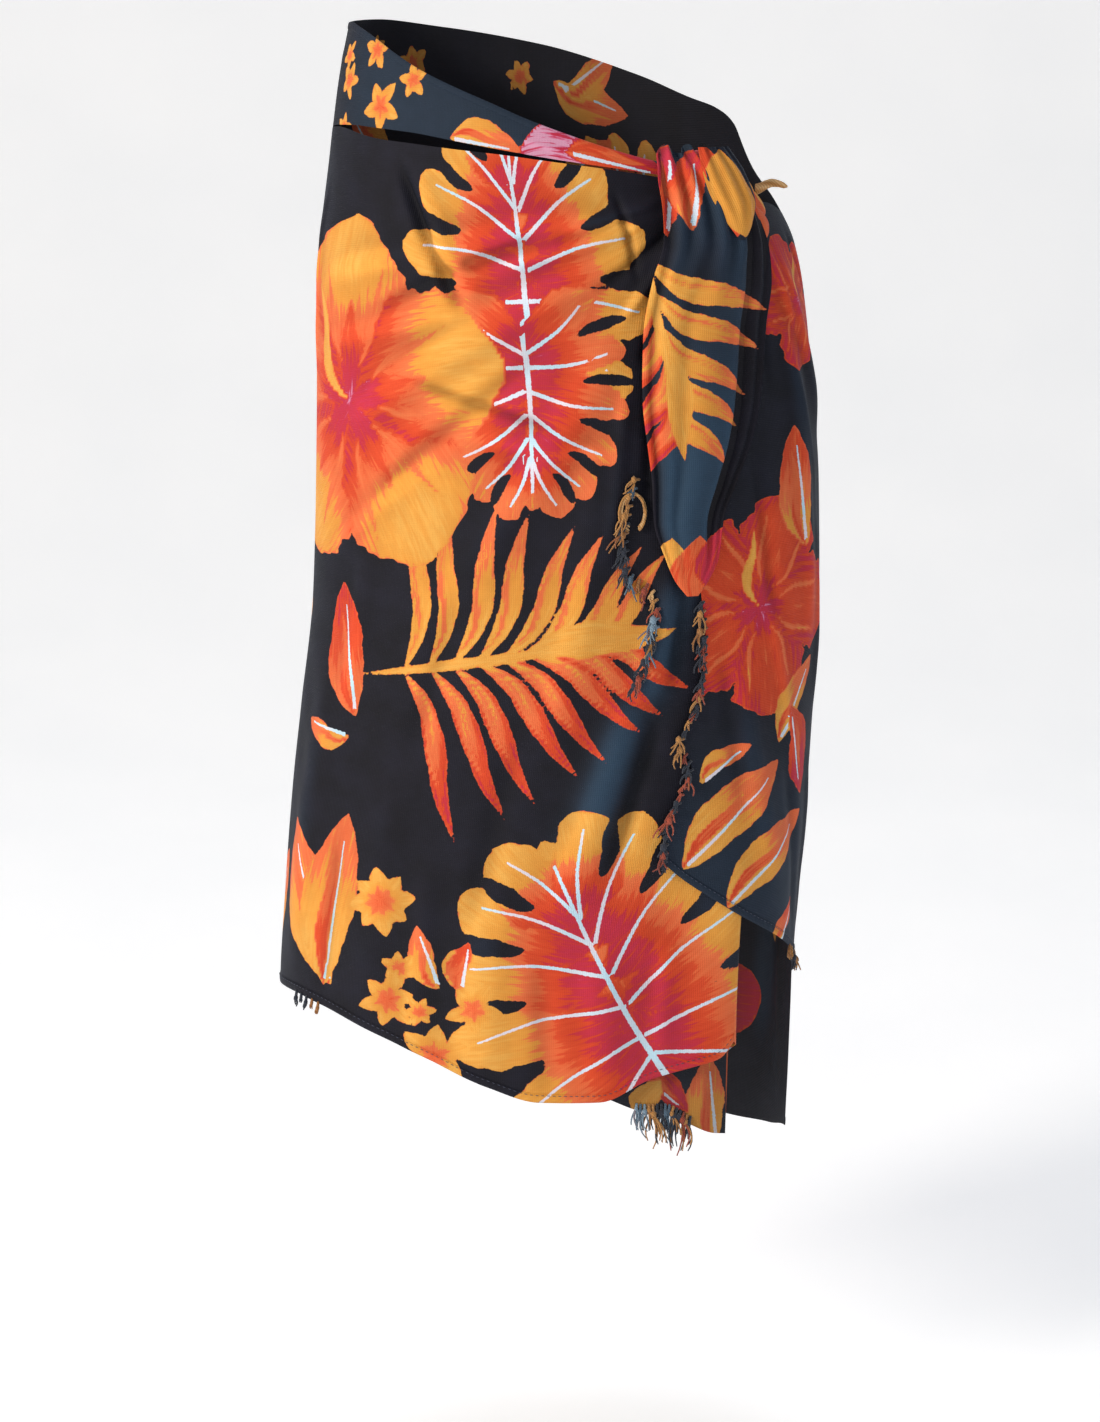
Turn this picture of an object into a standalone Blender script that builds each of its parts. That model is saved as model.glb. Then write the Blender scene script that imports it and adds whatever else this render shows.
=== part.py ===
"""Sarong tied at the hip: a fringed length of printed rayon, wound once round and knotted.

Frame: +Z up, -Y the front, +X the side with the knot. The origin is the middle of the waist,
where the wearer holds the cloth up. Angles run round the form from the front towards +X, in
degrees. Heights, lifts and widths are in millimetres until form() turns them into a point.
"""
import math
import random
from collections import namedtuple

import bmesh
import bpy
from mathutils import Vector

MM = 0.001

# Cloth
WALL = 1.6
SEAM_ANGLE = 0.1
LAYER_STEP = 3.1

# Squares of each piece's grid
Grid = namedtuple("Grid", "columns rows")
FRONT_GRID = Grid(42, 26)
BACK_GRID = Grid(36, 16)
BAND_GRID = Grid(32, 3)
WING_GRID = Grid(18, 26)
TURNED_GRID = Grid(20, 6)
TAIL_GRID = Grid(16, 22)
SHORT_GRID = Grid(8, 8)

# The hollow form that the cloth keeps
Section = namedtuple("Section", "height left right front back")
SECTIONS = (
    Section(-830, -210.0, 187.0, 129, 116),
    Section(-680, -208.5, 186.5, 128, 116),
    Section(-610, -204.0, 188.0, 127, 116),
    Section(-520, -196.2, 195.5, 126, 117),
    Section(-450, -187.8, 199.0, 125, 118),
    Section(-370, -178.0, 202.0, 125, 120),
    Section(-280, -174.2, 200.0, 124, 123),
    Section(-210, -172.5, 194.0, 122, 124),
    Section(-140, -171.5, 186.0, 118, 121),
    Section(-106, -169.3, 178.5, 115, 118),
    Section(-80, -165.5, 166.5, 112, 115),
    Section(-52, -161.5, 151.5, 109, 110),
    Section(-25, -158.0, 143.5, 106, 107),
    Section(20, -150.5, 135.0, 101, 100),
    Section(60, -143.0, 128.0, 98, 94),
)

# How far the band's middle stands proud of its edges
BAND_CROWN = 1.5

# Edges, as the height at each angle
Edge = namedtuple("Edge", "angle height")
BAND_TOP = (
    Edge(-90, 50), Edge(-78, 50), Edge(-67.5, 46.5), Edge(-56, 39), Edge(-48, 31), Edge(-34, 16),
    Edge(-23, 5), Edge(-13, -5), Edge(-4, -15), Edge(5, -24), Edge(16, -34), Edge(26, -42),
    Edge(34, -47),
)
BAND_BOTTOM = (
    Edge(-90, -25), Edge(-75, -22), Edge(-61, -21.5), Edge(-53, -22.5), Edge(-37, -25.5),
    Edge(-22, -31.5), Edge(-10, -37), Edge(4, -43.5), Edge(15, -48), Edge(26, -52.5),
    Edge(34, -56),
)
FRONT_TOP = (
    Edge(-90, -25.8), Edge(-75, -23.2), Edge(-66, -24.5), Edge(-56, -28), Edge(-48, -30.6),
    Edge(-37, -33), Edge(-24, -36.5), Edge(-10, -40.3), Edge(1, -44.3), Edge(15, -49.5),
    Edge(26, -54), Edge(34, -58), Edge(46, -66),
)
FRONT_HEM = (
    Edge(-90, -672), Edge(-75, -667), Edge(-66, -666), Edge(-54, -669), Edge(-36, -683),
    Edge(-23, -697.5), Edge(-10, -716), Edge(1, -727), Edge(14, -728), Edge(25, -714),
    Edge(35, -706), Edge(42, -701), Edge(46, -690),
)
BACK_TOP = (
    Edge(90, -88), Edge(100, -62), Edge(107, -24), Edge(118, -12), Edge(130, -5),
    Edge(150, 12), Edge(180, 34), Edge(210, 46), Edge(240, 52), Edge(270, 50),
)
BACK_HEM = (
    Edge(90, -797), Edge(98, -797), Edge(110, -803), Edge(130, -808), Edge(150, -806),
    Edge(180, -793), Edge(210, -752), Edge(240, -702), Edge(270, -672),
)
WING_TOP = (Edge(48, -82), Edge(66, -76), Edge(81, -84), Edge(90, -88))
WING_HEM = (
    Edge(26, -549), Edge(31, -562), Edge(39, -579), Edge(45, -591), Edge(55, -608),
    Edge(75, -638), Edge(90, -655),
)

# The wing's fringed side, from its lowest point up to the knot
Side = namedtuple("Side", "height angle")
WING_SIDE = (
    Side(-549, 26.0), Side(-528, 25.7), Side(-500, 28.1), Side(-478, 30.3), Side(-459, 27.5),
    Side(-420, 31.6), Side(-383, 31.4), Side(-350, 30.0), Side(-300, 27.0), Side(-230, 26.0),
    Side(-160, 30.0), Side(-110, 38.0), Side(-82, 48.0),
)
BACK_FREE_SIDE = (Side(-797, 98.0), Side(-740, 95.0), Side(-656, 90.0), Side(-88, 90.0))

# Folds: a soft ridge from one place to another, with its rise and half width
Fold = namedtuple("Fold", "from_angle from_height to_angle to_height rise width")
FRONT_FOLDS = (
    Fold(20, -78, -72, -128, 4.0, 9),
    Fold(18, -98, -60, -232, 5.0, 12),
    Fold(14, -150, -30, -372, 4.0, 15),
    Fold(10, -215, -4, -470, 3.5, 14),
    Fold(25, -322, 16, -440, 7.5, 12),
    Fold(17, -405, 3, -590, 7.5, 14),
    Fold(-62, -400, -70, -655, 4.5, 20),
    Fold(-38, -470, -41, -680, 3.5, 17),
    Fold(-12, -560, -13, -716, 5.0, 17),
    Fold(12, -600, 14, -728, 3.5, 13),
)
WING_FOLDS = (
    Fold(60, -100, 84, -250, 4.5, 11),
    Fold(62, -150, 70, -420, 4.0, 13),
    Fold(40, -400, 58, -590, 3.5, 14),
)
BACK_FOLDS = (
    Fold(105, -70, 150, -330, 4.5, 15),
    Fold(112, -430, 118, -795, 6.5, 19),
    Fold(146, -380, 150, -800, 5.0, 17),
    Fold(184, -440, 181, -790, 6.5, 21),
    Fold(262, -80, 205, -240, 4.0, 14),
    Fold(222, -400, 217, -735, 5.5, 18),
    Fold(250, -470, 247, -690, 4.0, 16),
)
ARC_PER_DEGREE = 2.9

# Swell of every layer where the cloth is drawn up to the knot
SWELL = 6.0
SWELL_ANGLE = 40
SWELL_HEIGHT = -84
SWELL_ANGLE_SPREAD = 17
SWELL_HEIGHT_SPREAD = 46

# Lower right of the front, which stands off the form and turns under
FOLD_LIFT = 10.0
FOLD_FROM_ANGLE = 24
FOLD_ANGLE = 46
FOLD_FROM_HEIGHT = -480
FOLD_FULL_HEIGHT = -600
TURN_UNDER_LIFT = 2.0
TURN_SHARE = 0.3
TURN_HEM = -700

Under = namedtuple("Under", "angle height lift top")
TURNED_UNDER = (
    Under(45.6, -764, 1.8, -575), Under(42, -762, 0.8, -575), Under(36, -753, -2.0, -580),
    Under(30, -741, -4.5, -590), Under(24, -739, -6.0, -605), Under(18, -731, -7.0, -625),
    Under(13, -722, -7.5, -650),
)

# The knot, a rounded bundle lying on the layers
KNOT_ANGLE = 43.5
KNOT_HALF_ANGLE = 13
KNOT_HEIGHT = -74
KNOT_HALF_HEIGHT = 37
KNOT_INNER_LIFT = 2.9
KNOT_OUTER_LIFT = 27

# The long tail, row by row from its top
TailRow = namedtuple("TailRow", "height left right lift pleat")
TAIL_ROWS = (
    TailRow(-36, 28.5, 45.5, 24, 1.5),
    TailRow(-53, 26.2, 48.5, 27, 2.0),
    TailRow(-71, 25.0, 49.5, 28, 2.5),
    TailRow(-101, 22.8, 50.0, 27, 3.0),
    TailRow(-126, 19.5, 50.0, 25, 3.5),
    TailRow(-161, 17.0, 48.5, 20, 4.0),
    TailRow(-210, 16.1, 46.0, 17, 4.0),
    TailRow(-238, 16.7, 43.0, 16, 3.5),
    TailRow(-266, 17.5, 38.5, 15, 3.0),
    TailRow(-294, 17.9, 34.6, 14, 2.5),
    TailRow(-323, 20.7, 33.2, 13, 1.5),
    TailRow(-338, 22.8, 30.8, 12.5, 0.8),
    TailRow(-349, 25.5, 28.2, 12, 0.3),
)
TAIL_WALL = 2.2
TAIL_PLEATS = 2.5
TAIL_OVER_KNOT = 0.2

# The short tail, a folded corner beside the long one
SHORT_STEP = 3.2
SHORT_DROP_ANGLE = 44
SHORT_DROP_END = 55
SHORT_DROP = 3
ShortRow = namedtuple("ShortRow", "height left right bulge")
SHORT_ROWS = (
    ShortRow(-35, 38.8, 49.0, 1.0), ShortRow(-52, 37.5, 51.0, 3.0), ShortRow(-68, 36.8, 49.8, 4.0),
    ShortRow(-83, 37.8, 46.0, 3.0), ShortRow(-98, 40.0, 41.8, 0.5),
)

# The thin twisted end that sticks out past the short tail
TIP_ANGLE = 57.2
TIP_HEIGHT = -66
TIP_LIFT = 15
TIP_LENGTH = 23
TIP_RISE = 4.5
TIP_RADIUS = 3.4

# Fringe: knotted tassels on narrow strips along the cloth's ends
STRIP_WIDTH = 2.4
STRIP_THICKNESS = 1.2
STRIP_GAP = 0.7
TASSEL_PITCH = 8.5
TASSEL_SHARE = 0.42
WING_FRINGE_ROWS = 11
WING_HEM_FROM = 12
WING_HEM_TO = 17
TURNED_FRINGE_FROM = 16
TURNED_FRINGE_TO = 10
HEM_TUFT_FROM = 7
HEM_TUFT_TO = 11
FRONT_END_LIFT = 1.4
FRONT_END_STEPS = 40
Run = namedtuple("Run", "height angle")
FRONT_END_RUN = (
    Run(-262, 15.6), Run(-283, 13.6), Run(-308, 12.6), Run(-331, 13.2), Run(-345, 18.4),
    Run(-362, 19.6), Run(-380, 18.6), Run(-398, 17.4), Run(-416, 15.8),
)

PRINT_NAVY = (0.021, 0.023, 0.036)
PRINT_ORANGE = (0.80, 0.22, 0.07)
PRINT_YELLOW = (0.81, 0.45, 0.11)
PRINT_CRIMSON = (0.55, 0.04, 0.06)
PRINT_MAROON = (0.16, 0.03, 0.03)
FRINGE_TAN = (0.45, 0.24, 0.11)
FRINGE_BLUE = (0.05, 0.09, 0.15)


def remove_everything():
    for thing in list(bpy.data.objects):
        bpy.data.objects.remove(thing, do_unlink=True)


def ramp(value, start, end):
    """0 before start and 1 past end, with a soft change between."""
    share = min(max((value - start) / (end - start), 0.0), 1.0)
    return share * share * (3 - 2 * share)


def read(rows, column, at):
    """A named column of a table at a value of its first column, on a curve with no overshoot."""
    rows = sorted(rows)
    keys = [row[0] for row in rows]
    values = [getattr(row, column) for row in rows]
    if at <= keys[0]:
        return values[0]
    if at >= keys[-1]:
        return values[-1]
    i = max(k for k in range(len(keys) - 1) if keys[k] <= at)
    grades = [(values[k + 1] - values[k]) / (keys[k + 1] - keys[k]) for k in range(len(keys) - 1)]

    def slope(k):
        before, after = grades[max(k - 1, 0)], grades[min(k, len(grades) - 1)]
        return 2 * before * after / (before + after) if before * after > 0 else 0.0

    span = keys[i + 1] - keys[i]
    t = (at - keys[i]) / span
    return (
        values[i] * (1 + 2 * t) * (1 - t) ** 2
        + slope(i) * span * t * (1 - t) ** 2
        + values[i + 1] * t * t * (3 - 2 * t)
        + slope(i + 1) * span * t * t * (t - 1)
    )


def swell(angle, height):
    across = (angle - SWELL_ANGLE) / SWELL_ANGLE_SPREAD
    along = (height - SWELL_HEIGHT) / SWELL_HEIGHT_SPREAD
    return SWELL * math.exp(-across * across - along * along)


def outward(angle, height):
    """The direction straight out of the form."""
    half = (read(SECTIONS, "right", height) - read(SECTIONS, "left", height)) / 2
    turn = math.radians(angle)
    depth = read(SECTIONS, "front" if math.cos(turn) > 0 else "back", height)
    return Vector((depth * math.sin(turn), -half * math.cos(turn), 0)).normalized()


def form(angle, height, lift=0.0):
    """A point on the worn form, or lifted off it, in metres."""
    left = read(SECTIONS, "left", height)
    right = read(SECTIONS, "right", height)
    turn = math.radians(angle)
    depth = read(SECTIONS, "front" if math.cos(turn) > 0 else "back", height)
    x = (left + right) / 2 + (right - left) / 2 * math.sin(turn)
    surface = Vector((x, -depth * math.cos(turn), height))
    return (surface + outward(angle, height) * (lift + swell(angle, height))) * MM


def rise_of(folds, angle, height):
    """How far the folds stand up at a place, the highest one counting."""
    highest = 0.0
    for fold in folds:
        run_x = (fold.to_angle - fold.from_angle) * ARC_PER_DEGREE
        run_z = fold.to_height - fold.from_height
        x = (angle - fold.from_angle) * ARC_PER_DEGREE
        z = height - fold.from_height
        length = math.hypot(run_x, run_z)
        along = (x * run_x + z * run_z) / length / length
        off = (x * run_z - z * run_x) / length
        ends = ramp(along, -0.05, 0.3) * (1 - ramp(along, 0.7, 1.05))
        highest = max(highest, fold.rise * ends * math.exp(-((off / fold.width) ** 2)))
    return highest


def front_lift(angle, height):
    """The front panel's outer face: its folds, and its lower right standing off."""
    reach = ramp(angle, FOLD_FROM_ANGLE, FOLD_ANGLE - 2) * (1 - ramp(angle, FOLD_ANGLE + 2, 88))
    stand = FOLD_LIFT * reach * ramp(-height, -FOLD_FROM_HEIGHT, -FOLD_FULL_HEIGHT)
    return max(rise_of(FRONT_FOLDS, angle, height) * (1 - ramp(angle, 30, 44)), stand)


def wing_lift(angle, height):
    """The wing's outer face, a step above the front panel where it covers it."""
    step = LAYER_STEP * (1 - ramp(angle, 58, 88))
    folds = rise_of(WING_FOLDS, angle, height) * (1 - ramp(angle, 80, 89))
    return front_lift(angle, height) + step + folds


def back_lift(angle, height):
    seams = ramp(angle, 91, 100) * (1 - ramp(angle, 258, 269))
    return rise_of(BACK_FOLDS, angle, height) * seams


def knot_share(angle, height):
    across = (angle - KNOT_ANGLE) / KNOT_HALF_ANGLE
    along = (height - KNOT_HEIGHT) / KNOT_HALF_HEIGHT
    return math.sqrt(max(1 - across * across - along * along, 0.0))


def tail_lift(angle, height):
    """The long tail's middle surface, which rides over the knot."""
    rest = read(TAIL_ROWS, "lift", height)
    middle = (KNOT_INNER_LIFT + KNOT_OUTER_LIFT) / 2
    share = knot_share(angle, height)
    over = middle + (KNOT_OUTER_LIFT - middle) * share + TAIL_WALL + TAIL_OVER_KNOT
    return (rest + over + math.sqrt((rest - over) ** 2 + 4)) / 2 if share else rest


def material(name, colour, roughness=0.8):
    finish = bpy.data.materials.new(name)
    finish.use_nodes = True
    shader = finish.node_tree.nodes["Principled BSDF"]
    shader.inputs["Base Color"].default_value = (*colour, 1)
    shader.inputs["Roughness"].default_value = roughness
    shader.inputs["Metallic"].default_value = 0
    return finish


def add_object(name, bm, colour):
    mesh = bpy.data.meshes.new(name)
    bm.to_mesh(mesh)
    bm.free()
    mesh.shade_smooth()
    piece = bpy.data.objects.new(name, mesh)
    piece.data.materials.append(material(name, colour))
    bpy.context.scene.collection.objects.link(piece)
    return piece


def cloth_wall(name, grid, place, colour, wall=WALL):
    """A cloth piece: a grid laid at place(across, up), thickened towards the form."""
    bm = bmesh.new()
    bmesh.ops.create_grid(bm, x_segments=grid.columns, y_segments=grid.rows, size=0.5)
    for vert in bm.verts:
        vert.co = form(*place(vert.co.x + 0.5, vert.co.y + 0.5))
    piece = add_object(name, bm, colour)
    thick = piece.modifiers.new("wall", "SOLIDIFY")
    thick.thickness = wall * MM
    thick.offset = -1
    thick.use_even_offset = True
    return piece


def between(start, end, share):
    return start + (end - start) * share


def front_place(across, up):
    angle = between(-90 + SEAM_ANGLE, FOLD_ANGLE - SEAM_ANGLE, across)
    height = between(read(FRONT_HEM, "height", angle), read(FRONT_TOP, "height", angle), up)
    return angle, height, front_lift(angle, height)


def back_place(across, up):
    low, high = BACK_FREE_SIDE[0].height, BACK_FREE_SIDE[-1].height
    right = read(BACK_FREE_SIDE, "angle", between(low, high, up)) + SEAM_ANGLE
    angle = between(right, 270 - SEAM_ANGLE, across)
    height = between(read(BACK_HEM, "height", angle), read(BACK_TOP, "height", angle), up)
    return angle, height, back_lift(angle, height)


def band_place(across, up):
    angle = between(-90 + SEAM_ANGLE, BAND_TOP[-1].angle, across)
    height = between(read(BAND_BOTTOM, "height", angle), read(BAND_TOP, "height", angle), up)
    return angle, height, BAND_CROWN * math.sin(math.pi * up) * ramp(angle, -90, -80)


def wing_place(across, up):
    """A place on the wing, blended from its four edges."""
    low, high = WING_SIDE[0].height, WING_SIDE[-1].height
    side_height = between(low, high, up)
    side = Vector((read(WING_SIDE, "angle", side_height), side_height))
    seam = Vector((90 - SEAM_ANGLE, between(WING_HEM[-1].height, WING_TOP[-1].height, up)))
    hem_angle = between(WING_HEM[0].angle, seam.x, across)
    top_angle = between(WING_TOP[0].angle, seam.x, across)
    hem = Vector((hem_angle, read(WING_HEM, "height", hem_angle)))
    top = Vector((top_angle, read(WING_TOP, "height", top_angle)))
    corners = (
        Vector((WING_HEM[0].angle, WING_HEM[0].height)) * (1 - across) * (1 - up)
        + Vector((seam.x, WING_HEM[-1].height)) * across * (1 - up)
        + Vector((WING_TOP[0].angle, WING_TOP[0].height)) * (1 - across) * up
        + Vector((seam.x, WING_TOP[-1].height)) * across * up
    )
    angle, height = side * (1 - across) + seam * across + hem * (1 - up) + top * up - corners
    return angle, height, wing_lift(angle, height)


def turned_place(across, up):
    """The front's end, which turns under at its rounded fold and hangs behind the hem."""
    if across <= TURN_SHARE:
        turn = math.pi * across / TURN_SHARE
        hem = between(read(FRONT_HEM, "height", FOLD_ANGLE), TURN_HEM, across / TURN_SHARE)
        height = between(hem, TURNED_UNDER[0].top, up)
        edge = front_lift(FOLD_ANGLE, height)
        radius = (edge - TURN_UNDER_LIFT) / 2
        angle = FOLD_ANGLE + SEAM_ANGLE + radius * math.sin(turn) / ARC_PER_DEGREE
        return angle, height, edge - radius * (1 - math.cos(turn))
    share = (across - TURN_SHARE) / (1 - TURN_SHARE)
    angle = between(TURNED_UNDER[0].angle, TURNED_UNDER[-1].angle, share)
    height = between(read(TURNED_UNDER, "height", angle), read(TURNED_UNDER, "top", angle), up)
    return angle, height, read(TURNED_UNDER, "lift", angle)


def tail_place(across, up):
    height = between(TAIL_ROWS[-1].height, TAIL_ROWS[0].height, up)
    angle = between(read(TAIL_ROWS, "left", height), read(TAIL_ROWS, "right", height), across)
    pleat = read(TAIL_ROWS, "pleat", height) * math.cos(2 * math.pi * TAIL_PLEATS * across)
    return angle, height, tail_lift(angle, height) + pleat * (1 - knot_share(angle, height))


def short_place(across, up):
    height = between(SHORT_ROWS[-1].height, SHORT_ROWS[0].height, up)
    angle = between(read(SHORT_ROWS, "left", height), read(SHORT_ROWS, "right", height), across)
    bulge = read(SHORT_ROWS, "bulge", height) * math.sin(math.pi * across)
    drop = SHORT_DROP * ramp(angle, SHORT_DROP_ANGLE, SHORT_DROP_END)
    lift = tail_lift(min(angle, SHORT_DROP_ANGLE), height) - drop
    return angle, height, lift + SHORT_STEP + bulge


def knot():
    bm = bmesh.new()
    bmesh.ops.create_uvsphere(bm, u_segments=20, v_segments=14, radius=1)
    middle = (KNOT_INNER_LIFT + KNOT_OUTER_LIFT) / 2
    half = (KNOT_OUTER_LIFT - KNOT_INNER_LIFT) / 2
    for vert in bm.verts:
        across, inwards, up = vert.co
        if inwards > 0:
            inwards = math.sqrt(inwards)
        crease = 1 - 0.1 * ramp(-inwards, 0.0, 0.5) * (1 + math.cos(9 * across + 4 * up)) / 2
        lift = middle - half * inwards * crease
        angle = KNOT_ANGLE + KNOT_HALF_ANGLE * across
        height = KNOT_HEIGHT + KNOT_HALF_HEIGHT * up
        vert.co = form(angle, height, lift)
    return add_object("knot", bm, PRINT_CRIMSON)


def sweep(bm, rings):
    """A closed run: a first face carried through each ring of points in turn."""
    start = [bm.verts.new(point) for point in rings[0]]
    first = cap = bm.faces.new(start)
    for ring in rings[1:]:
        made = bmesh.ops.extrude_face_region(bm, geom=[cap])["geom"]
        if cap is not first:
            bmesh.ops.delete(bm, geom=[cap], context="FACES_ONLY")
        cap = next(item for item in made if isinstance(item, bmesh.types.BMFace))
        by_start = {}
        for vert in (item for item in made if isinstance(item, bmesh.types.BMVert)):
            old = min(start, key=lambda known: (known.co - vert.co).length)
            by_start[old] = vert
        start = [by_start[old] for old in start]
        for vert, point in zip(start, ring):
            vert.co = point


def knot_end():
    root = form(TIP_ANGLE, TIP_HEIGHT, TIP_LIFT)
    rings = []
    steps = 7
    for i in range(steps + 1):
        share = i / steps
        middle = root + Vector((share * TIP_LENGTH, 0, TIP_RISE * math.sin(2.6 * share))) * MM
        radius = TIP_RADIUS * (1 - 0.55 * share) * MM
        ring = []
        for k in range(8):
            turn = 2 * math.pi * k / 8
            ring.append(middle + Vector((0, 0.7 * math.cos(turn), 1.2 * math.sin(turn))) * radius)
        rings.append(ring)
    bm = bmesh.new()
    sweep(bm, rings)
    bmesh.ops.recalc_face_normals(bm, faces=bm.faces)
    return add_object("knot_end", bm, FRINGE_TAN)


def evenly(places, step):
    """Places at equal steps along a list of places."""
    reach = [0.0]
    for last, place in zip(places, places[1:]):
        reach.append(reach[-1] + (place[0] - last[0]).length)
    count = max(2, round(reach[-1] / step))
    spaced = []
    for i in range(count + 1):
        at = reach[-1] * i / count
        k = min(max(n for n in range(len(reach)) if reach[n] <= at), len(places) - 2)
        share = (at - reach[k]) / (reach[k + 1] - reach[k])
        point = places[k][0].lerp(places[k + 1][0], share)
        out = places[k][1].lerp(places[k + 1][1], share).normalized()
        spaced.append((point, out))
    return spaced


def fringe(name, places, length, colour, seed, stand=0.12):
    """Tassels on a narrow strip. Each place is a point of the cloth's edge and its outward way."""
    dice = random.Random(seed)
    stations = evenly(places, TASSEL_PITCH * TASSEL_SHARE * MM)
    bm = bmesh.new()
    rings = []
    away = []
    for i, (point, out) in enumerate(stations):
        run = stations[min(i + 1, len(stations) - 1)][0] - stations[max(i - 1, 0)][0]
        aside = run.cross(out).normalized()
        near = point + aside * STRIP_GAP * MM
        far = near + aside * STRIP_WIDTH * MM
        half = out * STRIP_THICKNESS / 2 * MM
        rings.append([near - half, near + half, far + half, far - half])
        away.append(aside * 0.6 + out * stand)
    sweep(bm, rings)
    bm.faces.ensure_lookup_table()
    sides = {}
    for face in bm.faces:
        middle = face.calc_center_median()
        for i in range(len(rings) - 1):
            outer = sum((rings[i][k] + rings[i + 1][k] for k in (2, 3)), Vector()) / 4
            if (middle - outer).length < 1e-6:
                sides[i] = face
    for i, face in sorted(sides.items()):
        if i % 2:
            continue
        reach = length * (0.75 + 0.5 * dice.random()) * MM
        lean = Vector((dice.uniform(-0.2, 0.2), dice.uniform(-0.05, 0.05), -0.75))
        way = (away[i] + lean).normalized()
        for share, size in ((0.35, 1.15), (1.0, 0.5)):
            made = bmesh.ops.extrude_discrete_faces(bm, faces=[face])["faces"]
            last, face = face, made[0]
            middle = face.calc_center_median()
            for vert in face.verts:
                vert.co = middle + (vert.co - middle) * size + way * reach * (share if share < 1 else 0.65)
    bmesh.ops.recalc_face_normals(bm, faces=bm.faces)
    return add_object(name, bm, colour)


def edge_places(place, steps, lift):
    """Points along a cloth piece's own edge, and the way out there."""
    places = []
    for across, up in steps:
        angle, height, outer = place(across, up)
        places.append((form(angle, height, outer + lift), outward(angle, height)))
    return places


def wing_fringe():
    down = [(0, k / WING_GRID.rows) for k in range(WING_FRINGE_ROWS, -1, -1)]
    return fringe("fringe_wing", edge_places(wing_place, down, -WALL / 2), 11, FRINGE_TAN, 3)


def wing_hem_fringe():
    along = [(k / WING_GRID.columns, 0) for k in range(WING_HEM_FROM, WING_HEM_TO + 1)]
    return fringe("fringe_wing_hem", edge_places(wing_place, along, -WALL / 2), 9, FRINGE_TAN, 4)


def front_end_fringe():
    places = []
    top, bottom = FRONT_END_RUN[0].height, FRONT_END_RUN[-1].height
    for i in range(FRONT_END_STEPS + 1):
        height = between(top, bottom, i / FRONT_END_STEPS)
        angle = read(FRONT_END_RUN, "angle", height)
        lift = front_lift(angle, height) + FRONT_END_LIFT
        places.append((form(angle, height, lift), outward(angle, height)))
    return fringe("fringe_front_end", places, 12, FRINGE_BLUE, 5, 0.3)


def turned_fringe():
    columns = range(TURNED_FRINGE_FROM, TURNED_FRINGE_TO - 1, -1)
    along = [(k / TURNED_GRID.columns, 0) for k in columns]
    return fringe("fringe_turned", edge_places(turned_place, along, WALL / 2), 20, FRINGE_BLUE, 8)


def hem_tuft():
    along = [(k / FRONT_GRID.columns, 0) for k in range(HEM_TUFT_FROM, HEM_TUFT_TO + 1)]
    return fringe("fringe_hem_tuft", edge_places(front_place, along, -WALL / 2), 7, FRINGE_TAN, 11)


def build():
    remove_everything()
    cloth_wall("front_panel", FRONT_GRID, front_place, PRINT_ORANGE)
    cloth_wall("back_panel", BACK_GRID, back_place, PRINT_MAROON)
    cloth_wall("waist_band", BAND_GRID, band_place, PRINT_YELLOW)
    cloth_wall("side_wing", WING_GRID, wing_place, PRINT_CRIMSON)
    cloth_wall("turned_end", TURNED_GRID, turned_place, PRINT_NAVY)
    knot()
    cloth_wall("tail_long", TAIL_GRID, tail_place, PRINT_NAVY, TAIL_WALL)
    cloth_wall("tail_short", SHORT_GRID, short_place, PRINT_MAROON, TAIL_WALL)
    knot_end()
    wing_fringe()
    wing_hem_fringe()
    front_end_fringe()
    turned_fringe()
    hem_tuft()


build()
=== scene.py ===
"""Looks of the sarong: printed rayon in its folds, the knot and tails, fringes, hems and stitches.

The frame is the part's own: +Z up, -Y the front, +X the side with the knot. Angles run round the
form from the front towards +X, in degrees, and lengths are in millimetres until form() turns them
into a point in metres. The forms repeat the part's named sizes with a finer grid and more folds.
"""

import math
import random
from collections import namedtuple

import bmesh
import bpy
import numpy as np
from mathutils import Matrix, Vector


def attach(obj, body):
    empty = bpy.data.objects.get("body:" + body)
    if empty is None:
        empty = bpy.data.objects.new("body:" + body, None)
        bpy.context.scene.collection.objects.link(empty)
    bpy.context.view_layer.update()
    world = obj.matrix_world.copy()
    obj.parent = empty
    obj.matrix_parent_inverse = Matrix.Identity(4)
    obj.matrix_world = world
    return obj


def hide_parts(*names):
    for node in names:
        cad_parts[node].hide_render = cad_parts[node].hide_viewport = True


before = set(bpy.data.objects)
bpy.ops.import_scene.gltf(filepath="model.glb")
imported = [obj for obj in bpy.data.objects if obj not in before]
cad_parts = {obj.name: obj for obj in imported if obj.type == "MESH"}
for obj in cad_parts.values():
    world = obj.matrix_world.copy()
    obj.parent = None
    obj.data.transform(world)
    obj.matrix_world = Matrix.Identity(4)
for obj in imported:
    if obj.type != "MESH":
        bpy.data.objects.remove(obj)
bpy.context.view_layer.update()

MM = 0.001

# The photograph's frame and the camera that took it
PHOTO_WIDTH = 1100
PHOTO_HEIGHT = 1422
FOCAL_PIXELS = 3108
CAMERA_PLACE = Vector((0.0, -2.3, 0.05))
CAMERA_DIP = math.radians(12.5)
SENSOR_HEIGHT = 24
FLOOR_HEIGHT = -1.04
FLOOR_HALF = 8.0
WALL_NEAR = 2.0
WALL_CURVE = 2.0
WALL_HEIGHT = 5.0
FLOOR_GLOW = 0.27

# Cloth
CLOTH_THICKNESS = 0.5
HEM_THICKNESS = 0.4
LAYER_STEP = 3.1
THREAD_PITCH = 1.3

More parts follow.
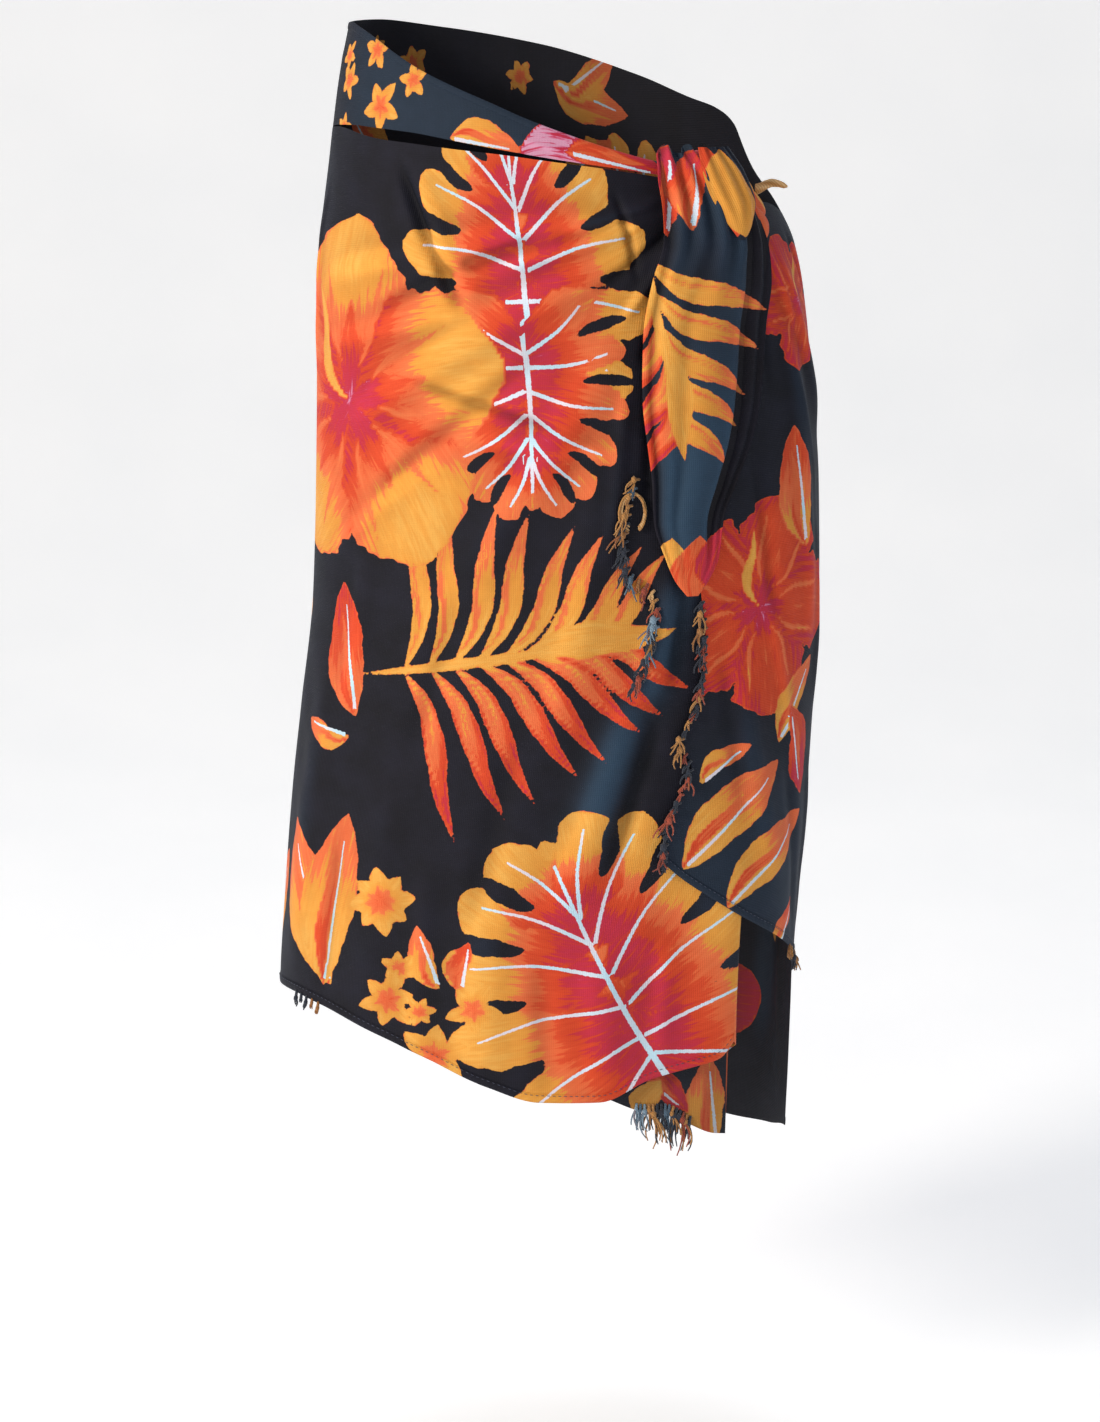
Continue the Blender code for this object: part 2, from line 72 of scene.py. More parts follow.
# Painted shade in the folds, and a little painted light on their ridges: how many cells round a point count,
# and the depth that is fully shaded
HOLLOW_CELLS = 4
HOLLOW_DEPTH = 2.0
HOLLOW_LEAST = -0.3
HOLLOW_SHADE = 0.42

# Squares of each piece's grid
Grid = namedtuple("Grid", "columns rows")
FRONT_GRID = Grid(180, 250)
BACK_GRID = Grid(190, 240)
BAND_GRID = Grid(150, 36)
WING_GRID = Grid(96, 230)
TURNED_GRID = Grid(90, 70)
TAIL_GRID = Grid(120, 170)
SHORT_GRID = Grid(60, 50)

# The hollow form that the cloth keeps
Section = namedtuple("Section", "height left right front back")
SECTIONS = (
    Section(-830, -210.0, 187.0, 129, 116),
    Section(-680, -208.5, 186.5, 128, 116),
    Section(-610, -204.0, 188.0, 127, 116),
    Section(-520, -196.2, 195.5, 126, 117),
    Section(-450, -187.8, 199.0, 125, 118),
    Section(-370, -178.0, 202.0, 125, 120),
    Section(-280, -174.2, 200.0, 124, 123),
    Section(-210, -172.5, 194.0, 122, 124),
    Section(-140, -171.5, 186.0, 118, 121),
    Section(-106, -169.3, 178.5, 115, 118),
    Section(-80, -165.5, 166.5, 112, 115),
    Section(-52, -161.5, 151.5, 109, 110),
    Section(-25, -158.0, 143.5, 106, 107),
    Section(20, -150.5, 135.0, 101, 100),
    Section(60, -143.0, 128.0, 98, 94),
)
BAND_CROWN = 1.5

# Edges, as the height at each angle
Edge = namedtuple("Edge", "angle height")
BAND_TOP = (
    Edge(-90, 50), Edge(-78, 50), Edge(-67.5, 46.5), Edge(-56, 39), Edge(-48, 31), Edge(-34, 16),
    Edge(-23, 5), Edge(-13, -5), Edge(-4, -15), Edge(5, -24), Edge(16, -34), Edge(26, -42),
    Edge(34, -47),
)
BAND_BOTTOM = (
    Edge(-90, -25), Edge(-75, -22), Edge(-61, -21.5), Edge(-53, -22.5), Edge(-37, -25.5),
    Edge(-22, -31.5), Edge(-10, -37), Edge(4, -43.5), Edge(15, -48), Edge(26, -52.5),
    Edge(34, -56),
)
FRONT_TOP = (
    Edge(-90, -25.8), Edge(-75, -23.2), Edge(-66, -24.5), Edge(-56, -28), Edge(-48, -30.6),
    Edge(-37, -33), Edge(-24, -36.5), Edge(-10, -40.3), Edge(1, -44.3), Edge(15, -49.5),
    Edge(26, -54), Edge(34, -58), Edge(46, -66),
)
FRONT_HEM = (
    Edge(-90, -672), Edge(-75, -667), Edge(-66, -666), Edge(-54, -669), Edge(-36, -683),
    Edge(-23, -697.5), Edge(-10, -716), Edge(1, -727), Edge(14, -728), Edge(25, -714),
    Edge(35, -706), Edge(42, -701), Edge(46, -690),
)
BACK_TOP = (
    Edge(90, -88), Edge(100, -62), Edge(107, -24), Edge(118, -12), Edge(130, -5),
    Edge(150, 12), Edge(180, 34), Edge(210, 46), Edge(240, 52), Edge(270, 50),
)
BACK_HEM = (
    Edge(90, -797), Edge(98, -797), Edge(110, -803), Edge(130, -808), Edge(150, -806),
    Edge(180, -793), Edge(210, -752), Edge(240, -702), Edge(270, -672),
)
WING_TOP = (Edge(48, -82), Edge(66, -76), Edge(81, -84), Edge(90, -88))
WING_HEM = (
    Edge(26, -549), Edge(31, -562), Edge(39, -579), Edge(45, -591), Edge(55, -608),
    Edge(75, -638), Edge(90, -655),
)
Side = namedtuple("Side", "height angle")
WING_SIDE = (
    Side(-549, 26.0), Side(-528, 25.7), Side(-500, 28.1), Side(-478, 30.3), Side(-459, 27.5),
    Side(-420, 31.6), Side(-383, 31.4), Side(-350, 30.0), Side(-300, 27.0), Side(-230, 26.0),
    Side(-160, 30.0), Side(-110, 38.0), Side(-82, 48.0),
)
BACK_FREE_SIDE = (Side(-797, 98.0), Side(-740, 95.0), Side(-656, 90.0), Side(-88, 90.0))

# The part's folds: a soft ridge from one place to another, with its rise and half width
Fold = namedtuple("Fold", "from_angle from_height to_angle to_height rise width")
FRONT_FOLDS = (
    Fold(20, -78, -72, -128, 4.0, 9),
    Fold(18, -98, -60, -232, 5.0, 12),
    Fold(14, -150, -30, -372, 4.0, 15),
    Fold(10, -215, -4, -470, 3.5, 14),
    Fold(25, -322, 16, -440, 7.5, 12),
    Fold(17, -405, 3, -590, 7.5, 14),
    Fold(-62, -400, -70, -655, 4.5, 20),
    Fold(-38, -470, -41, -680, 3.5, 17),
    Fold(-12, -560, -13, -716, 5.0, 17),
    Fold(12, -600, 14, -728, 3.5, 13),
)
WING_FOLDS = (
    Fold(60, -100, 84, -250, 4.5, 11),
    Fold(62, -150, 70, -420, 4.0, 13),
    Fold(40, -400, 58, -590, 3.5, 14),
)
BACK_FOLDS = (
    Fold(105, -70, 150, -330, 4.5, 15),
    Fold(112, -430, 118, -795, 6.5, 19),
    Fold(146, -380, 150, -800, 5.0, 17),
    Fold(184, -440, 181, -790, 6.5, 21),
    Fold(262, -80, 205, -240, 4.0, 14),
    Fold(222, -400, 217, -735, 5.5, 18),
    Fold(250, -470, 247, -690, 4.0, 16),
)

# Finer creases, added to the folds: a negative rise is a trough
FRONT_CREASES = (
    Fold(-41, -44, -23, -150, -6.5, 4.5),
    Fold(-36, -46, -19, -144, 3.4, 6.0),
    Fold(17, -66, 18, -128, -4.0, 2.8),
    Fold(31, -70, 2, -92, 4.0, 3.6),
    Fold(30, -80, -14, -118, 3.6, 4.2),
    Fold(31, -88, 8, -134, -3.8, 3.6),
    Fold(30, -96, 12, -160, 3.4, 3.6),
    Fold(29, -106, 17, -190, -3.6, 4.0),
    Fold(4, -84, -48, -150, -3.4, 5.5),
    Fold(0, -232, -38, -196, -2.6, 4.0),
    Fold(14, -250, -22, -236, 2.4, 5.0),
    Fold(-10, -140, -70, -176, 2.1, 7.0),
    Fold(-2, -168, -52, -290, -2.7, 7.0),
    Fold(22, -130, 17, -300, -3.3, 5.0),
    Fold(14, -190, 8, -330, 2.4, 5.0),
    Fold(26, -300, 24, -420, -3.6, 6.0),
    Fold(22, -430, 13, -560, -4.5, 7.0),
    Fold(-30, -250, -66, -330, 1.8, 7.0),
    Fold(-24, -330, -34, -480, -2.1, 8.0),
    Fold(-50, -300, -56, -460, 2.1, 9.0),
    Fold(-8, -440, -16, -600, -2.4, 9.0),
    Fold(-26, -540, -27, -700, 2.7, 9.0),
    Fold(-52, -520, -55, -672, -2.7, 9.0),
    Fold(0, -610, 2, -727, -2.4, 8.0),
    Fold(28, -600, 27, -712, 2.2, 8.0),
    Fold(-78, -60, -84, -210, 2.0, 6.0),
    Fold(-40, -44, -20, -52, 1.4, 3.5),
)
WING_CREASES = (
    Fold(54, -92, 66, -170, 2.7, 4.5),
    Fold(50, -98, 52, -210, -2.4, 4.5),
    Fold(72, -96, 86, -150, -2.4, 5.0),
    Fold(58, -160, 76, -300, 2.1, 6.0),
    Fold(44, -240, 52, -380, -2.4, 6.0),
    Fold(74, -280, 80, -460, 2.0, 8.0),
    Fold(48, -350, 66, -500, 2.2, 7.0),
    Fold(34, -380, 46, -520, -2.2, 7.0),
    Fold(60, -470, 74, -630, -2.7, 8.0),
    Fold(78, -480, 86, -650, 2.4, 7.0),
)
BACK_CREASES = (
    Fold(96, -90, 128, -190, 2.7, 5.0),
    Fold(94, -110, 118, -280, -2.5, 6.0),
    Fold(100, -100, 170, -210, 2.2, 7.0),
    Fold(140, -40, 205, -120, -2.2, 8.0),
    Fold(264, -30, 228, -140, 2.1, 6.0),
    Fold(258, -150, 190, -330, -2.2, 8.0),
    Fold(130, -330, 138, -600, 2.7, 9.0),
    Fold(164, -320, 166, -640, -2.7, 10.0),
    Fold(198, -300, 200, -560, 2.4, 9.0),
    Fold(236, -330, 234, -610, -2.5, 9.0),
    Fold(104, -520, 104, -780, -3.0, 9.0),
    Fold(132, -600, 133, -800, 3.0, 9.0),
    Fold(168, -620, 166, -795, -3.0, 9.0),
    Fold(200, -590, 199, -760, 2.7, 9.0),
    Fold(234, -560, 232, -705, 2.4, 9.0),
    Fold(262, -520, 260, -670, -2.2, 8.0),
)
BAND_CREASES = (
    Fold(32, -52, -20, -22, 1.0, 3.0),
    Fold(30, -49, -4, -30, -0.8, 2.5),
    Fold(28, -54, 2, -42, 0.9, 2.5),
    Fold(-30, -12, -80, 12, 0.8, 5.0),
    Fold(-56, 30, -86, 26, 0.6, 5.0),
)
TURNED_CREASES = (
    Fold(40, -640, 38, -760, 2.0, 6.0),
    Fold(30, -650, 31, -745, -1.6, 5.0),
    Fold(22, -660, 20, -735, 1.8, 5.0),
)
ARC_PER_DEGREE = 2.9
RIPPLE_HEIGHT = 0.35

# Swell of every layer where the cloth is drawn up to the knot
SWELL = 6.0
SWELL_ANGLE = 40
SWELL_HEIGHT = -84
SWELL_ANGLE_SPREAD = 17
SWELL_HEIGHT_SPREAD = 46

# Lower right of the front, which stands off the form and turns under
FOLD_LIFT = 10.0
FOLD_FROM_ANGLE = 24
FOLD_ANGLE = 46
FOLD_FROM_HEIGHT = -480
FOLD_FULL_HEIGHT = -600
TURN_UNDER_LIFT = 2.0
TURN_SHARE = 0.3
TURN_HEM = -700
Under = namedtuple("Under", "angle height lift top")
TURNED_UNDER = (
    Under(45.6, -764, 1.8, -575), Under(42, -762, 0.8, -575), Under(36, -753, -2.0, -580),
    Under(30, -741, -4.5, -590), Under(24, -739, -6.0, -605), Under(18, -731, -7.0, -625),
    Under(13, -722, -7.5, -650),
)

# Knot and tails
KNOT_ANGLE = 43.5
KNOT_HALF_ANGLE = 13
KNOT_HEIGHT = -74
KNOT_HALF_HEIGHT = 37
KNOT_INNER_LIFT = 2.9
KNOT_OUTER_LIFT = 27
TailRow = namedtuple("TailRow", "height left right lift thickness")
TAIL_ROWS = (
    TailRow(-36, 28.5, 45.5, 24, 3.5),
    TailRow(-53, 26.2, 48.5, 27, 3.5),
    TailRow(-71, 25.0, 49.5, 28, 3.5),
    TailRow(-101, 22.8, 50.0, 27, 4.5),
    TailRow(-126, 19.5, 50.0, 25, 6.0),
    TailRow(-161, 17.0, 48.5, 20, 7.0),
    TailRow(-210, 16.1, 46.0, 17, 6.5),
    TailRow(-238, 16.7, 43.0, 16, 6.0),
    TailRow(-266, 17.5, 38.5, 15, 5.5),
    TailRow(-294, 17.9, 34.6, 14, 5.0),
    TailRow(-323, 20.7, 33.2, 13, 4.0),
    TailRow(-338, 22.8, 30.8, 12.5, 3.0),
    TailRow(-349, 25.5, 28.2, 12, 1.5),
)
TAIL_WALL = 2.2
BUNDLE_HALF = 0.37
TAIL_OVER_KNOT = 0.2

# Pleats of the long tail: where each lies across it, from -1 at its left to 1, top and bottom
Pleat = namedtuple("Pleat", "top bottom rise width")
TAIL_PLEATS = (
    Pleat(-0.84, -0.86, -3.2, 0.06),
    Pleat(-0.60, -0.62, 1.2, 0.14),
    Pleat(-0.34, -0.42, -1.0, 0.10),
    Pleat(0.02, -0.10, 3.6, 0.34),
    Pleat(0.54, 0.60, -3.6, 0.10),
    Pleat(0.74, 0.78, 1.6, 0.09),
    Pleat(0.90, 0.92, -1.8, 0.06),
)
TAIL_STEP = 4.2
TAIL_GATHERS = 17
TAIL_GATHER_RISE = 2.3
TAIL_TOP_WAVE = 3.0
TAIL_TOP_ROLL = 7.0

SHORT_STEP = 3.2
SHORT_DROP_ANGLE = 44
SHORT_DROP_END = 55
SHORT_DROP = 3
SHORT_THICKNESS = 2.6
ShortRow = namedtuple("ShortRow", "height left right bulge")
SHORT_ROWS = (
    ShortRow(-35, 38.8, 49.0, 1.0), ShortRow(-52, 37.5, 51.0, 3.0), ShortRow(-68, 36.8, 49.8, 4.0),
    ShortRow(-83, 37.8, 46.0, 3.0), ShortRow(-98, 40.0, 41.8, 0.5),
)
TIP_ANGLE = 57.2
TIP_HEIGHT = -66
TIP_LIFT = 15
TIP_LENGTH = 23
TIP_RISE = 4.5
TIP_RADIUS = 3.4
TIP_STEPS = 18
TIP_SIDES = 12

# Fringe
TASSEL_PITCH = 6.5
TASSEL_YARNS = 5
TASSEL_KNOT_RADIUS = 2.1
WING_FRINGE_FROM = -352
TURNED_FRINGE_FROM = 0.80
TURNED_FRINGE_TO = 0.50
Run = namedtuple("Run", "height angle")
FRONT_END_RUN = (
    Run(-262, 15.6), Run(-283, 13.6), Run(-308, 12.6), Run(-331, 13.2), Run(-345, 18.4),
    Run(-362, 19.6), Run(-380, 18.6), Run(-398, 17.4), Run(-416, 15.8),
)
FRONT_END_LIFT = 1.4

# The loose loop of yarn, in the photograph's pixels and degrees round it
LOOP_X = 632
LOOP_Y = 512
LOOP_WIDTH = 13
LOOP_HEIGHT = 19
LOOP_START = -60
LOOP_END = 250
LOOP_YARNS = 4
LOOP_STEPS = 22

# Hems and stitches
HEM_DEPTH = 7.0
HEM_LIFT = 0.5
STITCH_PITCH = 4.2
STITCH_LENGTH = 2.8
STITCH_WIDTH = 0.55
STITCH_INSET = 5.6
STITCH_LIFT = 0.75
STITCH_HEIGHT = 0.56


def ramp(value, start, end):
    """0 before start and 1 past end, with a soft change between."""
    share = np.clip((value - start) / (end - start), 0.0, 1.0)
    return share * share * (3 - 2 * share)


def between(start, end, share):
    return start + (end - start) * share


def read(rows, column, at):
    """A named column of a table at values of its first column, on a curve with no overshoot."""
    rows = sorted(rows)
    keys = np.array([row[0] for row in rows], float)
    values = np.array([getattr(row, column) for row in rows], float)
    grades = np.diff(values) / np.diff(keys)
    before = np.concatenate((grades[:1], grades))
    after = np.concatenate((grades, grades[-1:]))
    same_way = before * after > 0
    slopes = np.where(same_way, 2 * before * after / np.where(same_way, before + after, 1), 0)
    at = np.clip(at, keys[0], keys[-1])
    i = np.clip(np.searchsorted(keys, at, side="right") - 1, 0, len(keys) - 2)
    span = keys[i + 1] - keys[i]
    t = (at - keys[i]) / span
    return (
        values[i] * (1 + 2 * t) * (1 - t) ** 2
        + slopes[i] * span * t * (1 - t) ** 2
        + values[i + 1] * t * t * (3 - 2 * t)
        + slopes[i + 1] * span * t * t * (t - 1)
    )


def form(angle, height, lift=0.0):
    """Points on the worn form, or lifted off it, in metres, and the way straight out there."""
    angle, height, lift = np.broadcast_arrays(*(np.asarray(v, float) for v in (angle, height, lift)))
    left = read(SECTIONS, "left", height)
    right = read(SECTIONS, "right", height)
    turn = np.radians(angle)
    front = np.cos(turn) > 0
    depth = np.where(front, read(SECTIONS, "front", height), read(SECTIONS, "back", height))
    half = (right - left) / 2
    x = (left + right) / 2 + half * np.sin(turn)
    out = np.stack((depth * np.sin(turn), -half * np.cos(turn), np.zeros_like(x)), axis=-1)
    out /= np.linalg.norm(out, axis=-1, keepdims=True)
    across = (angle - SWELL_ANGLE) / SWELL_ANGLE_SPREAD
    along = (height - SWELL_HEIGHT) / SWELL_HEIGHT_SPREAD
    swell = SWELL * np.exp(-across * across - along * along)
    surface = np.stack((x, -depth * np.cos(turn), height), axis=-1)
    return (surface + out * (lift + swell)[..., None]) * MM, out


def crease(fold, angle, height):
    """How far one fold stands up at each place."""
    run_x = (fold.to_angle - fold.from_angle) * ARC_PER_DEGREE
    run_z = fold.to_height - fold.from_height
    x = (angle - fold.from_angle) * ARC_PER_DEGREE
    z = height - fold.from_height
    length = math.hypot(run_x, run_z)
    along = (x * run_x + z * run_z) / length / length
    off = (x * run_z - z * run_x) / length
    ends = ramp(along, -0.05, 0.3) * (1 - ramp(along, 0.7, 1.05))
    return fold.rise * ends * np.exp(-((off / fold.width) ** 2))


def rise_of(folds, angle, height):
    return np.max([crease(fold, angle, height) for fold in folds] + [0 * angle], axis=0)


def relief_of(creases, angle, height):
    return sum(crease(fold, angle, height) for fold in creases)


def ripple(angle, height, seed):
    """Slight unevenness of soft cloth."""
    dice = random.Random(seed)
    total = 0 * angle
    for size in (46, 31, 19, 13):
        way = dice.uniform(0, math.tau)
        run = (angle * ARC_PER_DEGREE * math.cos(way) + height * math.sin(way)) / size
        bend = np.sin(run * 0.37 + dice.uniform(0, 9)) * 1.6
        total = total + np.sin(run * 2.2 + bend + dice.uniform(0, 9)) * size / 46
    return total * RIPPLE_HEIGHT


def front_base(angle, height):
    """The part's own front face, on which the wing lies."""
    reach = ramp(angle, FOLD_FROM_ANGLE, FOLD_ANGLE - 2) * (1 - ramp(angle, FOLD_ANGLE + 2, 88))
    stand = FOLD_LIFT * reach * ramp(-height, -FOLD_FROM_HEIGHT, -FOLD_FULL_HEIGHT)
    return np.maximum(rise_of(FRONT_FOLDS, angle, height) * (1 - ramp(angle, 30, 44)), stand)


def front_lift(angle, height):
    fine = relief_of(FRONT_CREASES, angle, height) + ripple(angle, height, 2)
    return front_base(angle, height) + fine * (1 - ramp(angle, 26, 40)) * ramp(angle, -90, -80)


def wing_lift(angle, height):
    step = LAYER_STEP * (1 - ramp(angle, 58, 88))
    folds = rise_of(WING_FOLDS, angle, height) + relief_of(WING_CREASES, angle, height)
    fine = (folds + ripple(angle, height, 5)) * (1 - ramp(angle, 80, 89)) * ramp(angle, 26, 40)
    return front_base(angle, height) + step + fine


def back_lift(angle, height):
    seams = ramp(angle, 91, 100) * (1 - ramp(angle, 258, 269))
    fine = relief_of(BACK_CREASES, angle, height) + ripple(angle, height, 7)
    return (rise_of(BACK_FOLDS, angle, height) + fine) * seams


def front_place(across, up):
    angle = between(-90, FOLD_ANGLE, across)
    height = between(read(FRONT_HEM, "height", angle), read(FRONT_TOP, "height", angle), up)
    return angle, height, front_lift(angle, height)


def back_place(across, up):
    low, high = BACK_FREE_SIDE[0].height, BACK_FREE_SIDE[-1].height
    angle = between(read(BACK_FREE_SIDE, "angle", between(low, high, up)), 270, across)
    height = between(read(BACK_HEM, "height", angle), read(BACK_TOP, "height", angle), up)
    return angle, height, back_lift(angle, height)


def band_place(across, up):
    angle = between(-90, BAND_TOP[-1].angle, across)
    height = between(read(BAND_BOTTOM, "height", angle), read(BAND_TOP, "height", angle), up)
    crown = BAND_CROWN * np.sin(np.pi * up) + relief_of(BAND_CREASES, angle, height)
    return angle, height, crown * ramp(angle, -90, -80)


def wing_place(across, up):
    """Places on the wing, blended from its four edges."""
    side_height = between(WING_SIDE[0].height, WING_SIDE[-1].height, up)
    side_angle = read(WING_SIDE, "angle", side_height)
    seam_height = between(WING_HEM[-1].height, WING_TOP[-1].height, up)
    hem_angle = between(WING_HEM[0].angle, 90, across)
    top_angle = between(WING_TOP[0].angle, 90, across)
    hem_height = read(WING_HEM, "height", hem_angle)
    top_height = read(WING_TOP, "height", top_angle)
    left, right = 1 - across, across
    low, high = 1 - up, up
    angle = (
        side_angle * left + 90 * right + hem_angle * low + top_angle * high
        - WING_HEM[0].angle * left * low - 90 * right - WING_TOP[0].angle * left * high
    )
    height = (
        side_height * left + seam_height * right + hem_height * low + top_height * high
        - WING_HEM[0].height * left * low - WING_HEM[-1].height * right * low
        - WING_TOP[0].height * left * high - WING_TOP[-1].height * right * high
    )
    return angle, height, wing_lift(angle, height)


def turned_place(across, up):
    """The front's end, which turns under at its rounded fold and hangs behind the hem."""
    share = np.clip(across / TURN_SHARE, 0, 1)
    hem = between(read(FRONT_HEM, "height", FOLD_ANGLE), TURN_HEM, share)
    turn_height = between(hem, TURNED_UNDER[0].top, up)
    edge = front_lift(np.full_like(turn_height, FOLD_ANGLE), turn_height)
    radius = (edge - TURN_UNDER_LIFT) / 2
    turn_angle = FOLD_ANGLE + radius * np.sin(np.pi * share) / ARC_PER_DEGREE
    turn_lift = edge - radius * (1 - np.cos(np.pi * share))
    past = np.clip((across - TURN_SHARE) / (1 - TURN_SHARE), 0, 1)
    angle = between(TURNED_UNDER[0].angle, TURNED_UNDER[-1].angle, past)
    height = between(read(TURNED_UNDER, "height", angle), read(TURNED_UNDER, "top", angle), up)
    lift = read(TURNED_UNDER, "lift", angle) + relief_of(TURNED_CREASES, angle, height) * 0.7
    under = across > TURN_SHARE
    return (
        np.where(under, angle, turn_angle),
        np.where(under, height, turn_height),
        np.where(under, lift, turn_lift),
    )


def knot_share(angle, height):
    across = (angle - KNOT_ANGLE) / KNOT_HALF_ANGLE
    along = (height - KNOT_HEIGHT) / KNOT_HALF_HEIGHT
    return np.sqrt(np.maximum(1 - across * across - along * along, 0.0))


def tail_lift(angle, height):
    """The long tail's outer face, which rides over the knot."""
    rest = read(TAIL_ROWS, "lift", height)
    middle = (KNOT_INNER_LIFT + KNOT_OUTER_LIFT) / 2
    share = knot_share(angle, height)
    over = middle + (KNOT_OUTER_LIFT - middle) * share + TAIL_WALL + TAIL_OVER_KNOT
    return np.where(share > 0, (rest + over + np.sqrt((rest - over) ** 2 + 4)) / 2, rest)


def bundle(across, left, right, thickness):
    """A flattened roll of cloth: across it, its angle, how far to the side, and its step back."""
    wide = (across - 0.5) / BUNDLE_HALF
    past = np.maximum(np.abs(wide) - 1, 0)
    side = np.where(past > 0, np.sign(wide) * (1 - past * 1.5), wide)
    back = thickness * ramp(past, 0, 0.09) + 0.5 * thickness * np.abs(np.clip(wide, -1, 1)) ** 6
    return between(left, right, (side + 1) / 2), side, np.minimum(back, thickness)


def tail_place(across, up):
    height = between(TAIL_ROWS[-1].height, TAIL_ROWS[0].height, up)
    left, right = read(TAIL_ROWS, "left", height), read(TAIL_ROWS, "right", height)
    thickness = read(TAIL_ROWS, "thickness", height)
    angle, side, back = bundle(across, left, right, thickness)
    pleats = -TAIL_STEP * ramp(side, 0.42, 0.58) * ramp(side, 1.02, 0.8)
    for pleat in TAIL_PLEATS:
        middle = between(pleat.bottom, pleat.top, up)
        pleats = pleats + pleat.rise * np.exp(-(((side - middle) / pleat.width) ** 2))
    gathered = ramp(up, 0.62, 0.9)
    pleats = pleats * (1 - 0.55 * gathered) * ramp(up, 0.0, 0.25)
    gathers = np.cos(TAIL_GATHERS * side + 3 * np.sin(4 * up)) * TAIL_GATHER_RISE
    fine = gathers * gathered + ripple(angle * 2, height, 9) * ramp(up, 0.02, 0.2)
    on_front = 1 - ramp(back / thickness, 0.6, 1.0)
    lift = tail_lift(angle, height) - back + (pleats + fine) * on_front
    top = ramp(up, 0.93, 1.0)
    return angle, height + TAIL_TOP_WAVE * np.sin(9 * side + 1) * top, lift - TAIL_TOP_ROLL * top**2


def short_place(across, up):
    height = between(SHORT_ROWS[-1].height, SHORT_ROWS[0].height, up)
    left, right = read(SHORT_ROWS, "left", height), read(SHORT_ROWS, "right", height)
    angle, side, back = bundle(across, left, right, SHORT_THICKNESS * ramp(up, -0.3, 0.5))
    bulge = read(SHORT_ROWS, "bulge", height) * np.cos(side * np.pi / 2)
    folds = 1.0 * np.cos(11 * side + 2.5 * up) * ramp(up, 0.1, 0.6) * (1 - ramp(np.abs(side), 0.7, 1))
    drop = SHORT_DROP * ramp(angle, SHORT_DROP_ANGLE, SHORT_DROP_END)
    lift = tail_lift(np.minimum(angle, SHORT_DROP_ANGLE), height) - drop
    return angle, height, lift + SHORT_STEP + bulge + folds - back


# Where points lie: across and up their piece, round and up the form, and off it
Laid = namedtuple("Laid", "across up angle height lift")

# Painted sheen: how far the ground is painted a lighter navy where each piece catches the light, from 0 to 1
PAINTED_SHEEN_RIDGE = (Fold(27, -330, 17, -450, 1.0, 12), Fold(18, -405, 1, -596, 1.0, 13))


def front_painted_sheen(laid):
    return 0.02 + 0.6 * rise_of(PAINTED_SHEEN_RIDGE, laid.angle, laid.height) + 0.2 * ramp(laid.lift, 2.5, 7)


def back_painted_sheen(laid):
    return 0.06 + 0.4 * ramp(laid.lift, 2.5, 7)


def wing_painted_sheen(laid):
    off_front = laid.lift - front_base(laid.angle, laid.height)
    own = 0.3 * ramp(laid.height, -420, -560) + 0.2 * ramp(off_front, 4, 8)
    return 0.06 + own * (1 - ramp(laid.angle, 60, 86))


def band_painted_sheen(laid):
    return 0.4 * ramp(laid.angle, -84, -50)


# Painted sheen on the tail's middle, none at its left edge and on its right part, with painted shade in a dark
# patch high on the left and towards the top
def tail_painted_sheen_and_shade(laid):
    side = (laid.across - 0.5) / BUNDLE_HALF
    shade = 0.8 * np.exp(-(((side + 0.3) / 0.35) ** 2) - ((laid.up - 0.7) / 0.13) ** 2)
    # Painted shade: the upper part of the tail is darker
    gathered = 1 - 0.42 * ramp(laid.up, 0.36, 0.58)
    face = ramp(side, -0.95, -0.6) * (1 - ramp(side, 0.42, 0.62))
    return 0.95 * face * (1 - shade) * gathered


def turned_painted_sheen(laid):
    return 0.15 + 0 * laid.lift


# The print is laid out in cloth millimetres: x along the cloth as it runs round, y the height.
# Warmth is the ink's colour on a scale: 0 crimson, 0.35 vermilion, 0.6 orange, 0.9 yellow.
ARC_HALF_WIDTH = 186
ARC_HALF_DEPTH = 122
ARC_ANGLES = np.linspace(0, 90, 181)
ARC_TURNS = np.radians(ARC_ANGLES)
ARC_STEPS = np.hypot(ARC_HALF_WIDTH * np.cos(ARC_TURNS), ARC_HALF_DEPTH * np.sin(ARC_TURNS))
ARC_SUMS = np.cumsum((ARC_STEPS[1:] + ARC_STEPS[:-1]) / 2)
ARC_LENGTHS = np.concatenate(([0], ARC_SUMS)) * math.pi / 360
QUARTER = ARC_LENGTHS[-1]
GIRTH = 4 * QUARTER


def arc(angle):
    """Millimetres round the cloth from the middle of the front."""
    angle = np.asarray(angle, float)
    turns = np.round(angle / 180)
    rest = angle - turns * 180
    return turns * 2 * QUARTER + np.sign(rest) * np.interp(np.abs(rest), ARC_ANGLES, ARC_LENGTHS)


# The search for the place that a pixel shows: its first depth, its rounds and how far it may go
SPOT_FIRST_DEPTH = -0.1
SPOT_ROUNDS = 14
SPOT_REACH = 0.985


def spot(px, py, lift=0.0):
    """The place on the front that shows at a pixel of the photograph, in cloth millimetres."""
    dip = CAMERA_DIP
    wide = (px - PHOTO_WIDTH / 2) / FOCAL_PIXELS
    high = (PHOTO_HEIGHT / 2 - py) / FOCAL_PIXELS
    ahead = math.cos(dip) + high * math.sin(dip)
    sight = Vector((wide, ahead, high * math.cos(dip) - math.sin(dip)))
    y = SPOT_FIRST_DEPTH
    for _ in range(SPOT_ROUNDS):
        seen = (CAMERA_PLACE + sight * ((y - CAMERA_PLACE.y) / sight.y)) / MM
        left, right = (float(read(SECTIONS, side, seen.z)) for side in ("left", "right"))
        reach = (seen.x - (left + right) / 2) / ((right - left) / 2 + lift)
        reach = min(max(reach, -SPOT_REACH), SPOT_REACH)
        y = -(float(read(SECTIONS, "front", seen.z)) + lift) * math.sqrt(1 - reach * reach) * MM
    return float(arc(math.degrees(math.asin(reach)))), seen.z


